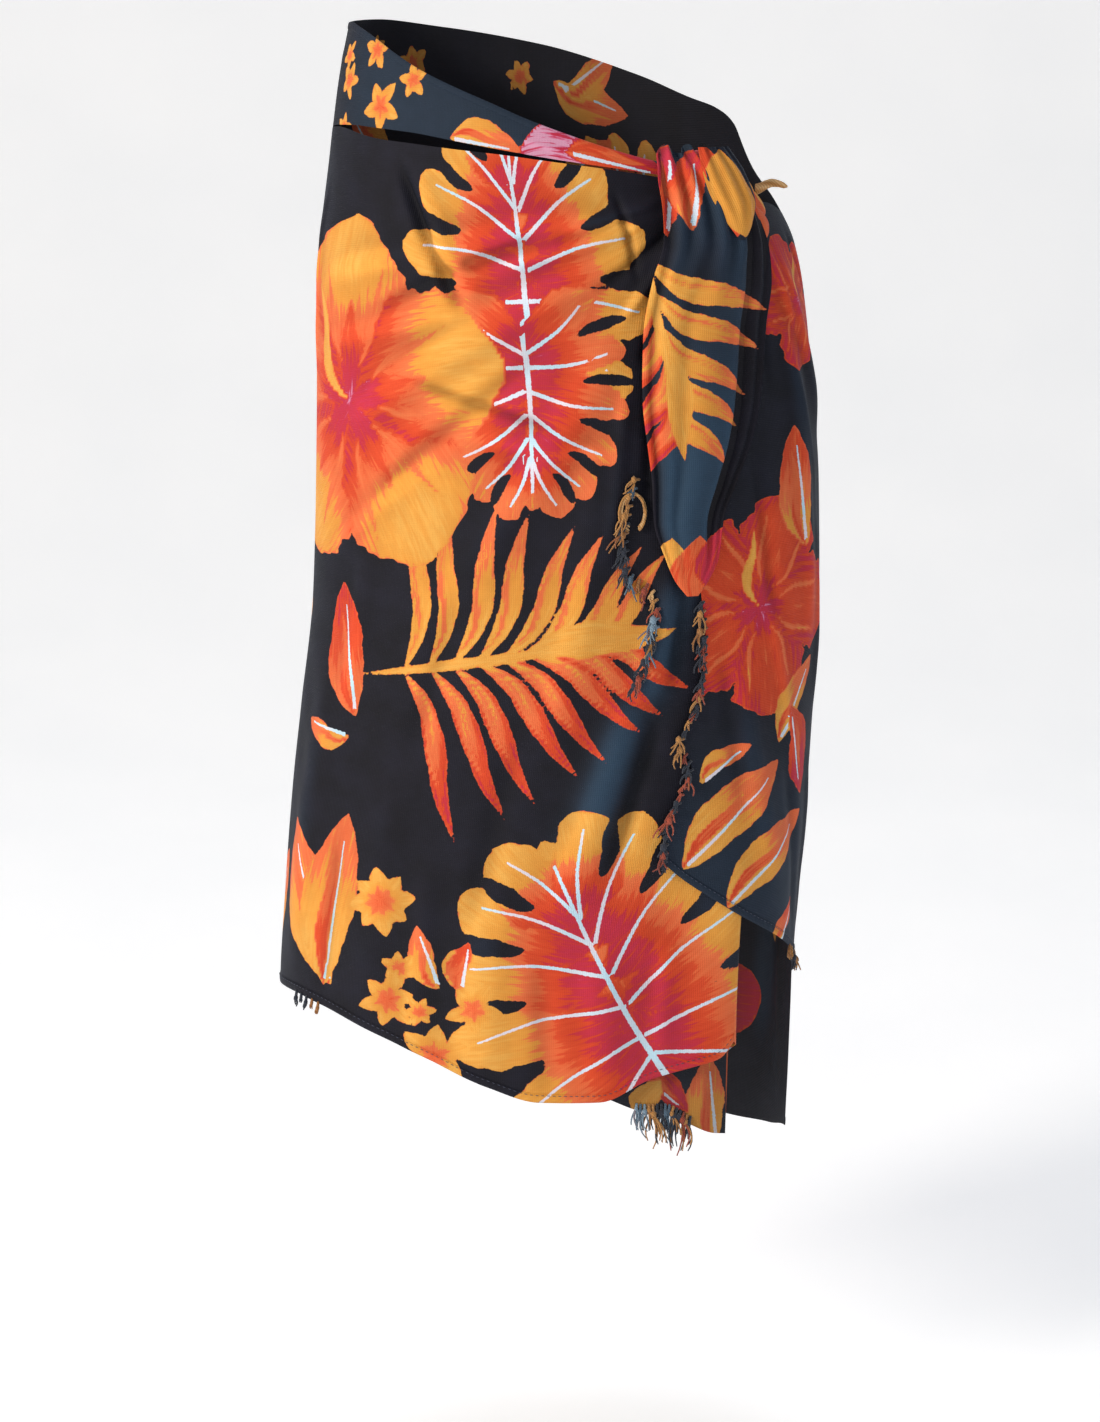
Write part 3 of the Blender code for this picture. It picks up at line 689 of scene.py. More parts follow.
# Outlines of the printed shapes: where the widest place lies along one, how blunt it is, how far
# its edge wanders in millimetres, and how much it curves back towards its tip
Outline = namedtuple("Outline", "belly blunt ragged sway")
OUTLINES = {
    "blade": Outline(0.85, 1.0, 0.5, 0.6),
    "petal": Outline(1.3, 0.6, 2.6, 0.0),
    "lobe": Outline(1.1, 0.42, 1.1, 0.0),
    "slot": Outline(1.0, 0.45, 0.8, 0.2),
    "leaf": Outline(0.95, 0.8, 0.7, 0.3),
}
RAGGED_PITCH = 7.5
VEIN_REACH = 6.0
VEIN_LANES = 3
VEIN_NONE = -9.0
GROUND = -1.0
LARGE_PALM = 190
PINK_WARMTH = 0.06
CRIMSON_WARMTH = 0.15
EDGE_WARMTH = 0.2
FULL_WARMTH = 0.92

# A printed shape from its base to its tip. Width and bend are millimetres; base and tip are the
# warmth there, and edge is added towards the sides. GROUND as the base leaves the ground bare.
Shape = namedtuple("Shape", "outline x y to_x to_y width bend base tip edge")
# Veins that meet lie in different lanes, because one lane holds one vein at each place
Vein = namedtuple("Vein", "points width end_width lane", defaults=(0,))

# Motifs on what the photograph shows. Each is an ordinary kind, put by the pixel of its root or
# middle, with its turn, its size in millimetres and its warmth where that isn't the usual one.
Placed = namedtuple("Placed", "kind px py turn size warm", defaults=(None,))
FRONT_MOTIFS = (
    Placed("broad_leaf", 330, 985, 112, 130), Placed("broad_leaf", 322, 985, 84, 135),
    Placed("monstera", 655, 1056, 118, 190),
    Placed("broad_leaf", 440, 990, 112, 52), Placed("broad_leaf", 462, 992, 84, 40, 0.62),
    Placed("palm_leaf", 384, 672, 10, 205),
    Placed("broad_leaf", 356, 716, 104, 100, 0.6), Placed("broad_leaf", 350, 736, 172, 46),
    Placed("monstera", 530, 322, 92, 146), Placed("monstera", 524, 352, 272, 112, 0.6),
    Placed("hibiscus", 350, 400, 88, 132),
)
WING_MOTIFS = (
    Placed("hibiscus", 792, 300, 40, 50, 0.2), Placed("hibiscus", 757, 606, 66, 84, 0.36),
    Placed("broad_leaf", 800, 545, 96, 90, 0.75), Placed("broad_leaf", 776, 742, 60, 70),
    Placed("broad_leaf", 786, 706, 288, 74, 0.3), Placed("broad_leaf", 698, 784, 36, 46),
    Placed("broad_leaf", 680, 868, 44, 104), Placed("broad_leaf", 718, 904, 40, 94),
    Placed("broad_leaf", 764, 952, 56, 46, 0.75),
)
BAND_MOTIFS = (
    Placed("broad_leaf", 450, 138, -8, 62), Placed("petal", 520, 151, -2, 62, -0.02),
    Placed("broad_leaf", 566, 152, -12, 84, 0.45),
)
TAIL_MOTIFS = (
    Placed("palm_leaf", 640, 240, 278, 150), Placed("broad_leaf", 668, 236, 70, 66, 0.2),
    Placed("broad_leaf", 690, 230, 66, 60, 0.6), Placed("petal", 680, 612, 92, 52, 0.95),
    # The rightmost bottom petal is printed crimson as painted shade on the tail's shaded side
    Placed("petal", 702, 604, 86, 48, 0.45), Placed("petal", 724, 594, 80, 48, 0.14),
)
# The short tail's first petal is printed in a dark vermilion as painted shade
SHORT_MOTIFS = (Placed("petal", 734, 242, 93, 78, 0.32), Placed("petal", 746, 236, 82, 60, 0.8))
TURNED_MOTIFS = (
    Placed("broad_leaf", 716, 1150, 96, 78), Placed("broad_leaf", 640, 1076, 318, 50, 0.3),
    Placed("petal", 640, 1122, 60, 34, 0.9),
)
UNDER_SHIFT = 900
TAIL_PRINT_LIFT = 20
SHORT_PRINT_LIFT = 30

# Small flowers on the front and band: centre, petal length, petals and first turn
Flower = namedtuple("Flower", "px py length petals turn")
SMALL_FLOWERS = (
    Flower(382, 901, 27, 8, 12), Flower(399, 968, 15, 6, 40), Flower(388, 1000, 24, 6, 78),
    Flower(420, 1011, 13, 6, 10), Flower(434, 1056, 28, 6, 24), Flower(474, 1008, 22, 5, 60),
)
BAND_FLOWERS = (
    Flower(378, 50, 16, 5, 20), Flower(352, 80, 15, 5, 0), Flower(382, 106, 21, 5, 50),
    Flower(414, 80, 15, 5, 30), Flower(344, 128, 13, 5, 10), Flower(352, 55, 12, 5, 60),
)


def reach(x, y, turn, length):
    return x + length * math.cos(math.radians(turn)), y + length * math.sin(math.radians(turn))


def ray(outline, x, y, turn, start, length, width, bend, base, tip, edge=0.0):
    """A shape that points away from a middle, its turn in degrees from +x."""
    ends = *reach(x, y, turn, start), *reach(x, y, turn, length)
    return Shape(outline, *ends, width, bend, base, tip, edge)


def small_flower(x, y, length, petals, turn):
    """A simple flower with pointed yellow petals and an orange middle."""
    shapes = []
    for k in range(petals):
        way = turn + 360 * k / petals
        petal_length = length * (1 - 0.12 * (k % 2))
        shapes.append(ray("leaf", x, y, way, 0, petal_length, length * 0.52, 0, 0.62, 1.0))
    for k in range(petals):
        way = turn + 360 * k / petals
        shapes.append(ray("blade", x, y, way, 0, length * 0.5, length * 0.16, 0, 0.45, 0.6))
    return shapes


def hibiscus(x, y, turn, size, warm=0.95):
    """A wide five-petalled flower with a crimson throat and a yellow stamen."""
    shapes = []
    for k in range(5):
        way = turn + 72 * k
        shapes.append(ray("petal", x, y, way, 0, size, size * 0.84, size * 0.06, 0.3, warm, -0.28))
    for k in range(5):
        way = turn + 72 * k
        shapes.append(ray("blade", x, y, way, 0, size * 0.55, size * 0.16, 0, 0.05, 0.4))
        shapes.append(ray("blade", x, y, way + 18, size * 0.2, size * 0.8, size * 0.05, 3, 0.55, 0.6))
        shapes.append(ray("blade", x, y, way - 18, size * 0.2, size * 0.8, size * 0.05, -3, 0.55, 0.6))
    shapes.append(ray("blade", x, y, turn + 30, 0, size * 0.7, size * 0.1, size * 0.08, 0.9, 0.98))
    return shapes


LeafLobe = namedtuple("LeafLobe", "root turn length")
LEAF_LOBES = (
    LeafLobe(0.02, 128, 0.60), LeafLobe(0.10, 98, 0.66), LeafLobe(0.24, 76, 0.66),
    LeafLobe(0.38, 58, 0.62), LeafLobe(0.52, 42, 0.54), LeafLobe(0.64, 24, 0.44),
)


def monstera(x, y, turn, size, warm=0.92):
    """A split leaf: blunt lobes and bare slots to both sides of a pale rib, with a vein in each."""
    shapes = [ray("leaf", x, y, turn, -size * 0.05, size, size * 0.5, 0, 0.14, warm)]
    for side in (1, -1):
        for lobe in LEAF_LOBES:
            root = reach(x, y, turn, size * lobe.root)
            way = turn + side * lobe.turn
            length = size * lobe.length
            shapes.append(ray("lobe", *root, way, 0, length, size * 0.27, side * 5, 0.13, warm))
        for lobe in LEAF_LOBES[1:]:
            root = reach(x, y, turn, size * (lobe.root - 0.08))
            way = turn + side * (lobe.turn + 9)
            start, stop = size * lobe.length * 0.55, size * lobe.length * 1.08
            shapes.append(ray("slot", *root, way, start, stop, size * 0.07, side * 2, GROUND, 0))
    for side in (1, -1):
        for k, lobe in enumerate(LEAF_LOBES):
            root = reach(x, y, turn, size * lobe.root)
            way = turn + side * lobe.turn
            middle = reach(*root, way - side * 6, size * lobe.length * 0.45)
            end = reach(*root, way, size * lobe.length * 0.85)
            shapes.append(Vein((root, middle, end), 3.2, 1.4, 1 + (k + (side > 0)) % 2))
    rib = ((0, -0.12), (3, 0.3), (0, 0.9))
    points = tuple(reach(x, y, turn + bend, size * share) for bend, share in rib)
    shapes.append(Vein(points, 5.0, 2.0))
    return shapes


def palm_leaf(x, y, turn, size):
    """A palm leaf: a yellow rib with pointed leaflets to both sides, the lower ones crimson-edged."""
    shapes = []
    pairs, lean = (5, 58) if size < LARGE_PALM else (8, 78)
    for k in range(pairs):
        share = k / (pairs - 1)
        root = reach(x, y, turn, size * (0.08 + 0.62 * share))
        length = size * (0.66 - 0.22 * share)
        for side in (1, -1):
            way = turn + side * lean * (1 - 0.55 * share) + 3 * (k % 2)
            warm, tip, edge = (0.95, 0.62, 0.0) if side > 0 else (0.9, 0.3, -0.7)
            wide = size * 0.6 / pairs
            shapes.append(ray("blade", *root, way, 0, length, wide, side * -6, warm, tip, edge))
            shapes.append(ray("blade", *root, way, 6, length * 0.7, size * 0.025, side * -5, 0.6, 0.6))
    shapes.append(ray("blade", x, y, turn, size * 0.5, size * 1.04, size * 0.12, 4, 0.95, 0.85))
    shapes.append(ray("blade", x, y, turn, -size * 0.1, size * 0.9, size * 0.04, 0, 0.95, 0.95))
    return shapes


def broad_leaf(x, y, turn, length, warm=0.95):
    shapes = [
        ray("leaf", x, y, turn, 0, length, length * 0.38, 6, warm, max(warm - 0.37, 0.14)),
        ray("blade", x, y, turn + 4, 0, length * 0.8, length * 0.09, 4, 0.35, 0.5),
    ]
    rib = tuple(reach(x, y, turn, far) for far in (4, length * 0.5, length * 0.85))
    shapes.append(Vein(rib, 3.0, 1.0))
    return shapes


def petal(x, y, turn, size, warm):
    return [ray("leaf", x, y, turn, 0, size, size * 0.62, 4, warm, warm)]


KINDS = {
    "palm_leaf": palm_leaf, "monstera": monstera, "hibiscus": hibiscus, "broad_leaf": broad_leaf,
    "petal": petal,
}


def placed(motifs, shift=0.0, lift=0.0):
    """Motifs put by pixels, in cloth millimetres."""
    shapes = []
    for motif in motifs:
        x, y = spot(motif.px, motif.py, lift)
        warm = () if motif.warm is None else (motif.warm,)
        shapes += KINDS[motif.kind](x + shift, y, motif.turn, motif.size, *warm)
    return shapes


# Motifs of the hidden back: what each is, its angle and height, its turn and its size
Motif = namedtuple("Motif", "kind angle height turn size")
BACK_MOTIFS = (
    Motif("palm_leaf", 124, -520, 70, 165), Motif("palm_leaf", 244, -560, 112, 180),
    Motif("palm_leaf", 178, -440, 30, 130), Motif("palm_leaf", 258, -250, 60, 90),
    Motif("palm_leaf", 196, -760, 160, 130), Motif("palm_leaf", 116, -300, 75, 120),
    Motif("monstera", 202, -330, 96, 165), Motif("monstera", 166, -735, 84, 140),
    Motif("monstera", 246, -380, 130, 110), Motif("monstera", 148, -110, 30, 96),
    Motif("hibiscus", 156, -232, 20, 88), Motif("hibiscus", 208, -600, 50, 92),
    Motif("hibiscus", 244, -120, 10, 66), Motif("hibiscus", 152, -440, 32, 58),
    Motif("broad_leaf", 112, -180, 60, 90), Motif("broad_leaf", 182, -80, 150, 84),
    Motif("broad_leaf", 228, -60, 40, 70), Motif("broad_leaf", 184, -690, 50, 90),
    Motif("broad_leaf", 262, -470, 250, 90), Motif("broad_leaf", 136, -560, 200, 80),
    Motif("broad_leaf", 222, -690, 20, 80), Motif("broad_leaf", 104, -470, 80, 90),
    Motif("palm_leaf", 222, -178, 122, 105), Motif("broad_leaf", 130, -392, 36, 92),
    Motif("broad_leaf", 126, -398, 110, 70), Motif("broad_leaf", 262, -650, 128, 92),
    Motif("broad_leaf", 266, -655, 74, 96), Motif("broad_leaf", 176, 6, 200, 76),
    Motif("broad_leaf", 174, -4, 150, 66), Motif("hibiscus", 184, -162, 44, 42),
)
Sprig = namedtuple("Sprig", "angle height length")
BACK_SPRIGS = (
    Sprig(128, -64, 18), Sprig(134, -88, 16), Sprig(166, -320, 18),
    Sprig(173, -352, 14), Sprig(150, -590, 18), Sprig(158, -612, 14), Sprig(208, -88, 15),
    Sprig(146, -640, 17), Sprig(234, -655, 16),
    Sprig(204, -700, 18), Sprig(150, -786, 15), Sprig(258, -560, 18), Sprig(264, -590, 14),
    Sprig(252, 20, 16), Sprig(240, 30, 13), Sprig(222, 18, 18), Sprig(262, -10, 15),
    Sprig(200, -20, 16), Sprig(186, 10, 15), Sprig(182, -520, 17),
    Sprig(190, -545, 14), Sprig(100, -380, 17), Sprig(106, -400, 13),
    Sprig(112, -640, 15),
)

# The crimson flower whose one broad petal shows inside the vent, and the turns of its others
CRIMSON_FLOWER = Sprig(136, -704, 46)
CRIMSON_TURN = 186
CRIMSON_OTHERS = (114, 42, 330, 258)


def crimson_flower(x, y, length):
    shapes = [ray("petal", x, y, turn, 0, 44, 36, 3, 0.14, 0.3) for turn in CRIMSON_OTHERS]
    shapes.append(ray("lobe", x, y, CRIMSON_TURN, 0, length, 58, 3, 0.14, 0.16))
    shapes.append(ray("blade", x, y, 20, 0, 24, 5, 2, 0.9, 0.9))
    return shapes


def back_print():
    """The hidden back, strewn with the same kinds of flower and leaf."""
    shapes = []
    for motif in BACK_MOTIFS:
        shapes += KINDS[motif.kind](arc(motif.angle) - GIRTH, *motif[2:])
    for sprig in BACK_SPRIGS:
        x = arc(sprig.angle) - GIRTH
        shapes += small_flower(x, sprig.height, sprig.length, 6, sprig.height % 60)
    x = arc(CRIMSON_FLOWER.angle) - GIRTH
    shapes += crimson_flower(x, *CRIMSON_FLOWER[1:])
    return shapes


def front_print():
    shapes = placed(FRONT_MOTIFS)
    for flower in SMALL_FLOWERS:
        shapes += small_flower(*spot(flower.px, flower.py), *flower[2:])
    return shapes


def wing_print():
    return placed(WING_MOTIFS, -GIRTH)


def band_print():
    shapes = placed(BAND_MOTIFS)
    for flower in BAND_FLOWERS:
        shapes += small_flower(*spot(flower.px, flower.py), *flower[2:])
    return shapes


def tail_print():
    return placed(TAIL_MOTIFS, 0, TAIL_PRINT_LIFT)


def short_print():
    return placed(SHORT_MOTIFS, 0, SHORT_PRINT_LIFT)


def turned_print():
    return placed(TURNED_MOTIFS, UNDER_SHIFT)


def turned_run(across, angle):
    """Along the turned end's own cloth, with its under part printed apart from the fold."""
    return arc(angle) + UNDER_SHIFT * (across > TURN_SHARE)


def inside_shape(shape, x, y):
    """How far inside a shape each place is, in millimetres, and its place along and across."""
    run_x, run_y = shape.to_x - shape.x, shape.to_y - shape.y
    length = math.hypot(run_x, run_y)
    along = ((x - shape.x) * run_x + (y - shape.y) * run_y) / length**2
    side = ((y - shape.y) * run_x - (x - shape.x) * run_y) / length
    share = np.clip(along, 0, 1)
    outline = OUTLINES[shape.outline]
    sway = outline.sway * np.sin(math.tau * share)
    side = side - shape.bend * (4 * share * (1 - share) + sway)
    half = shape.width / 2 * np.sin(np.pi * share**outline.belly) ** outline.blunt
    run = share * length / RAGGED_PITCH + 2.1 * np.sign(side) + shape.width
    ragged = np.sin(run) + 0.6 * np.sin(2.3 * run + 1) + 0.4 * np.sin(5.1 * run)
    limit = np.minimum(1, half / 8)
    past = np.abs(along - share) * length
    depth = half + outline.ragged * limit * ragged - np.hypot(side, past)
    return depth, share, side, np.maximum(half, 0.5), length


def smooth_run(points, cuts=4):
    """A smooth curve through the points of a vein."""
    ends = [points[0], *points, points[-1]]
    run = []
    for a, b, c, d in zip(ends, ends[1:], ends[2:], ends[3:]):
        for t in (k / cuts for k in range(cuts)):
            run.append(tuple(
                q + t * (r - p) / 2 + t**2 * (p - 2.5 * q + 2 * r - s / 2)
                + t**3 * (1.5 * (q - r) + (s - p) / 2)
                for p, q, r, s in zip(a, b, c, d)
            ))
    return [*run, points[-1]]


def nearest(points, x, y):
    """How far each place is from a smooth curve, to which side, and how far along it."""
    points = smooth_run(points)
    gap = np.full_like(x, 1e3)
    side = np.zeros_like(x)
    along = np.zeros_like(x)
    steps = len(points) - 1
    for i in range(steps):
        (x0, y0), (x1, y1) = points[i], points[i + 1]
        run_x, run_y = x1 - x0, y1 - y0
        share = ((x - x0) * run_x + (y - y0) * run_y) / (run_x**2 + run_y**2)
        share = np.clip(share, 0, 1)
        off_x, off_y = x - x0 - share * run_x, y - y0 - share * run_y
        far = np.hypot(off_x, off_y)
        near = far < gap
        gap = np.where(near, far, gap)
        side = np.where(near, np.sign(run_x * off_y - run_y * off_x) * far, side)
        along = np.where(near, (i + share) / steps, along)
    return gap, side, along


def printed(x, y, shapes):
    """The print's fields at each place, in millimetres but for warmth.

    ink is how far inside a motif it is. For each lane, vein_side is how far off the nearest vein,
    signed so that it runs straight through zero, and vein_half is that vein's half width.
    """
    ink = np.full_like(x, -9.0)
    vein_side = np.full((len(x), VEIN_LANES), VEIN_REACH)
    vein_half = np.full((len(x), VEIN_LANES), VEIN_NONE)
    warmth = np.full_like(x, 0.5)
    grain = np.zeros((len(x), 3))
    for number, shape in enumerate(shapes):
        if isinstance(shape, Vein):
            gap, side, along = nearest(shape.points, x, y)
            closer = gap < np.abs(vein_side[:, shape.lane])
            past_end = (along <= 0) | (along >= 1)
            half = np.where(past_end, VEIN_NONE, between(shape.width, shape.end_width, along) / 2)
            vein_side[closer, shape.lane] = side[closer]
            vein_half[closer, shape.lane] = half[closer]
            continue
        far = shape.width + 12
        ends = ((shape.x, shape.y), (shape.to_x, shape.to_y))
        low_x, high_x = min(p[0] for p in ends), max(p[0] for p in ends)
        low_y, high_y = min(p[1] for p in ends), max(p[1] for p in ends)
        near = (x > low_x - far) & (x < high_x + far) & (y > low_y - far) & (y < high_y + far)
        if not near.any():
            continue
        depth, share, side, half, length = inside_shape(shape, x[near], y[near])
        vein_half[near] = np.where((depth > 0)[:, None], VEIN_NONE, vein_half[near])
        if shape.base == GROUND:
            ink[near] = np.minimum(ink[near], -depth)
            continue
        ink[near] = np.maximum(ink[near], depth)
        sides = np.minimum(np.abs(side) / half, 1) ** 2
        warm = between(shape.base, shape.tip, ramp(share, 0.12, 0.82)) + shape.edge * sides
        lowest = min(shape.base, shape.tip)
        if lowest > PINK_WARMTH:
            lowest = max(CRIMSON_WARMTH, min(lowest, EDGE_WARMTH))
        warm = np.clip(warm, lowest, FULL_WARMTH)
        covers = ramp(depth, -0.6, 0.6)
        warmth[near] = between(warmth[near], warm, covers)
        seed = number * 3.7 % 11
        lines = np.stack((share * length / 26 + seed, side / 2.6, np.full_like(side, seed)), axis=-1)
        grain[near] = np.where((depth > -0.6)[:, None], lines, grain[near])
    return {
        "ink": ink, "vein_side": vein_side, "vein_half": vein_half, "warmth": warmth, "grain": grain,
    }


def srgb(code):
    """A hex colour as linear light."""
    parts = [int(code[i : i + 2], 16) / 255 for i in (1, 3, 5)]
    return tuple(c / 12.92 if c <= 0.04045 else ((c + 0.055) / 1.055) ** 2.4 for c in parts) + (1.0,)


def node(tree, kind, settings=None, links=None):
    """Adds a node with its settings, and its inputs set to a value or linked to an output."""
    made = tree.nodes.new(kind)
    for name, value in (settings or {}).items():
        setattr(made, name, value)
    for socket, value in (links or {}).items():
        if isinstance(value, bpy.types.NodeSocket):
            tree.links.new(value, made.inputs[socket])
        else:
            made.inputs[socket].default_value = value
    return made


def new_material(name):
    finish = bpy.data.materials.new(name)
    finish.use_nodes = True
    return finish, finish.node_tree, finish.node_tree.nodes["Principled BSDF"]


def colour_steps(tree, value, stops):
    """A colour ramp from (place, hex colour) stops."""
    made = node(tree, "ShaderNodeValToRGB", links={"Fac": value})
    ramp_stops = made.color_ramp.elements
    for place, code in stops[1:-1]:
        ramp_stops.new(place)
    for stop, (place, code) in zip(ramp_stops, stops):
        stop.position = place
        stop.color = srgb(code)
    return made.outputs["Color"]


# Rayon plain weave, roller printed: flat inks with crisp edges, a soft low sheen on the threads
INK_STOPS = (
    (0.0, "#cf93ad"), (0.03, "#c96a8c"), (0.06, "#b92c48"), (0.21, "#bc2d38"),
    (0.25, "#c9401f"), (0.42, "#d24a26"), (0.46, "#d95f34"), (0.66, "#de6f40"),
    (0.70, "#d98f38"), (0.88, "#dc983f"), (1.0, "#e0a44c"),
)
GROUND_COLOUR = "#120f16"
GROUND_WORN = "#191722"
GROUND_LIT = "#2b4155"
VEIN_COLOUR = "#dcd6e0"
VEIN_BLUE = "#bcdcea"
WRONG_SIDE_TINT = "#8d8a90"


def rayon(name, wrong_side=False):
    """Printed rayon. The wrong side shows the same print through, duller, and darkened as painted shade."""
    finish, tree, shader = new_material(name)
    fields = {
        name: node(tree, "ShaderNodeAttribute", {"attribute_name": name}).outputs
        for name in ("ink", "warmth", "lit", "hollow", "vein_side", "vein_half", "grain", "cloth")
    }
    ink, warmth, lit, hollow = (fields[name]["Fac"] for name in ("ink", "warmth", "lit", "hollow"))
    vein_side, vein_half, grain, cloth = (
        fields[name]["Vector"] for name in ("vein_side", "vein_half", "grain", "cloth")
    )
    vein_gap = node(tree, "ShaderNodeVectorMath", {"operation": "ABSOLUTE"}, {0: vein_side}).outputs[0]
    lanes = node(tree, "ShaderNodeVectorMath", {"operation": "SUBTRACT"}, {0: vein_half, 1: vein_gap})
    lanes = node(tree, "ShaderNodeSeparateXYZ", links={0: lanes.outputs[0]}).outputs
    vein = lanes[0]
    for lane in lanes[1:]:
        vein = node(tree, "ShaderNodeMath", {"operation": "MAXIMUM"}, {0: vein, 1: lane}).outputs[0]

    streak = node(
        tree, "ShaderNodeTexNoise", {"noise_dimensions": "3D"},
        {"Vector": grain, "Scale": 1.0, "Detail": 3.0, "Roughness": 0.55, "Distortion": 0.3},
    ).outputs["Fac"]
    off = node(tree, "ShaderNodeMath", {"operation": "MULTIPLY_ADD"}, {0: streak, 1: 0.54, 2: -0.25})
    warm = node(tree, "ShaderNodeMath", {"operation": "ADD"}, {0: warmth, 1: off.outputs[0]})
    inks = colour_steps(tree, warm.outputs[0], INK_STOPS)

    worn = node(
        tree, "ShaderNodeTexNoise", links={"Vector": cloth, "Scale": 0.035, "Detail": 3.0},
    ).outputs["Fac"]
    ground = colour_steps(tree, worn, ((0.35, GROUND_COLOUR), (0.7, GROUND_WORN)))
    # Painted sheen: the lit field mixes the ground towards a lighter navy
    ground = node(
        tree, "ShaderNodeMix", {"data_type": "RGBA"}, {"Factor": lit, 6: ground, 7: srgb(GROUND_LIT)},
    ).outputs[2]
    veins = colour_steps(tree, worn, ((0.4, VEIN_COLOUR), (0.6, VEIN_BLUE)))

    bleed = node(
        tree, "ShaderNodeTexNoise", links={"Vector": cloth, "Scale": 0.45, "Detail": 2.0},
    ).outputs["Fac"]
    rough = node(tree, "ShaderNodeMath", {"operation": "MULTIPLY_ADD"}, {0: bleed, 1: 1.6, 2: -0.8})
    ink_edge = node(tree, "ShaderNodeMath", {"operation": "ADD"}, {0: ink, 1: rough.outputs[0]})
    vein_edge = node(tree, "ShaderNodeMath", {"operation": "ADD"}, {0: vein, 1: rough.outputs[0]})
    limits = {"From Min": -0.22, "From Max": 0.22}
    has_ink = node(tree, "ShaderNodeMapRange", links={"Value": ink_edge.outputs[0], **limits})
    has_vein = node(tree, "ShaderNodeMapRange", links={"Value": vein_edge.outputs[0], **limits})
    base = node(
        tree, "ShaderNodeMix", {"data_type": "RGBA"},
        {"Factor": has_ink.outputs[0], 6: ground, 7: inks},
    ).outputs[2]
    base = node(
        tree, "ShaderNodeMix", {"data_type": "RGBA"},
        {"Factor": has_vein.outputs[0], 6: base, 7: veins},
    ).outputs[2]

    # Threads of about 0.3 mm are drawn 1.3 mm apart, so that they show at the render's size
    wave_scale = math.tau / 20 / THREAD_PITCH
    threads = []
    for direction in ("X", "Y"):
        wave = node(
            tree, "ShaderNodeTexWave", {"bands_direction": direction},
            {"Vector": cloth, "Scale": wave_scale, "Distortion": 0.6, "Detail": 1.0},
        )
        threads.append(wave.outputs["Fac"])
    weave = node(tree, "ShaderNodeMath", {"operation": "ADD"}, {0: threads[0], 1: threads[1]})
    slub = node(
        tree, "ShaderNodeTexNoise", links={"Vector": cloth, "Scale": 0.12, "Detail": 4.0},
    ).outputs["Fac"]
    shade_value = node(
        tree, "ShaderNodeMath", {"operation": "MULTIPLY_ADD"}, {0: weave.outputs[0], 1: 0.05, 2: 0.86},
    )
    shade_value = node(
        tree, "ShaderNodeMath", {"operation": "MULTIPLY_ADD"},
        {0: slub, 1: 0.16, 2: shade_value.outputs[0]},
    )
    # Painted shade: the colour darkens in the hollows between folds and lightens slightly on their ridges
    open_share = node(
        tree, "ShaderNodeMath", {"operation": "MULTIPLY_ADD"}, {0: hollow, 1: -HOLLOW_SHADE, 2: 1.0},
    )
    shade_value = node(
        tree, "ShaderNodeMath", {"operation": "MULTIPLY"},
        {0: shade_value.outputs[0], 1: open_share.outputs[0]},
    )
    shaded = node(
        tree, "ShaderNodeVectorMath", {"operation": "SCALE"},
        {0: base, "Scale": shade_value.outputs[0]},
    ).outputs["Vector"]
    if wrong_side:
        shaded = node(
            tree, "ShaderNodeMix", {"data_type": "RGBA"},
            {"Factor": 0.04, 6: shaded, 7: srgb(WRONG_SIDE_TINT)},
        ).outputs[2]
        # Painted shade: the wrong side is darkened to six tenths
        shaded = node(
            tree, "ShaderNodeVectorMath", {"operation": "SCALE"}, {0: shaded, "Scale": 0.6},
        ).outputs["Vector"]
    tree.links.new(shaded, shader.inputs["Base Color"])

    height = node(
        tree, "ShaderNodeMath", {"operation": "MULTIPLY_ADD"}, {0: slub, 1: 2.5, 2: weave.outputs[0]},
    )
    bump = node(
        tree, "ShaderNodeBump",
        links={"Height": height.outputs[0], "Strength": 0.35, "Distance": 0.0004},
    )
    tree.links.new(bump.outputs["Normal"], shader.inputs["Normal"])
    shader.inputs["Roughness"].default_value = 0.66
    shader.inputs["Specular IOR Level"].default_value = 0.18
    shader.inputs["Sheen Weight"].default_value = 0.05
    shader.inputs["Sheen Roughness"].default_value = 0.45
    shader.inputs["Sheen Tint"].default_value = srgb("#9fc0e6")
    return finish


def yarn_material():
    """Spun rayon yarn ends, each in the colour of the print it left: matt, twisted and hairy."""
    finish, tree, shader = new_material("spun_yarn")
    tone = node(tree, "ShaderNodeAttribute", {"attribute_name": "tone"}).outputs["Fac"]
    stops = (
        (0.0, "#1d2230"), (0.30, "#26303f"), (0.34, "#3c5468"), (0.46, "#7f97a8"), (0.50, "#7a3326"),
        (0.62, "#a8492f"), (0.66, "#8f5a2c"), (0.84, "#b98446"), (1.0, "#d9b27c"),
    )
    colour = colour_steps(tree, tone, stops)
    place = node(tree, "ShaderNodeTexCoord").outputs["Object"]
    twist = node(
        tree, "ShaderNodeTexWave", {"bands_direction": "DIAGONAL"},
        {"Vector": place, "Scale": 260.0, "Distortion": 1.5},
    ).outputs["Fac"]
    value = node(tree, "ShaderNodeMath", {"operation": "MULTIPLY_ADD"}, {0: twist, 1: 0.35, 2: 0.75})
    shaded = node(
        tree, "ShaderNodeVectorMath", {"operation": "SCALE"}, {0: colour, "Scale": value.outputs[0]},
    )
    tree.links.new(shaded.outputs["Vector"], shader.inputs["Base Color"])
    bump = node(tree, "ShaderNodeBump", links={"Height": twist, "Strength": 0.5, "Distance": 0.0003})
    tree.links.new(bump.outputs["Normal"], shader.inputs["Normal"])
    shader.inputs["Roughness"].default_value = 0.85
    shader.inputs["Sheen Weight"].default_value = 0.2
    return finish


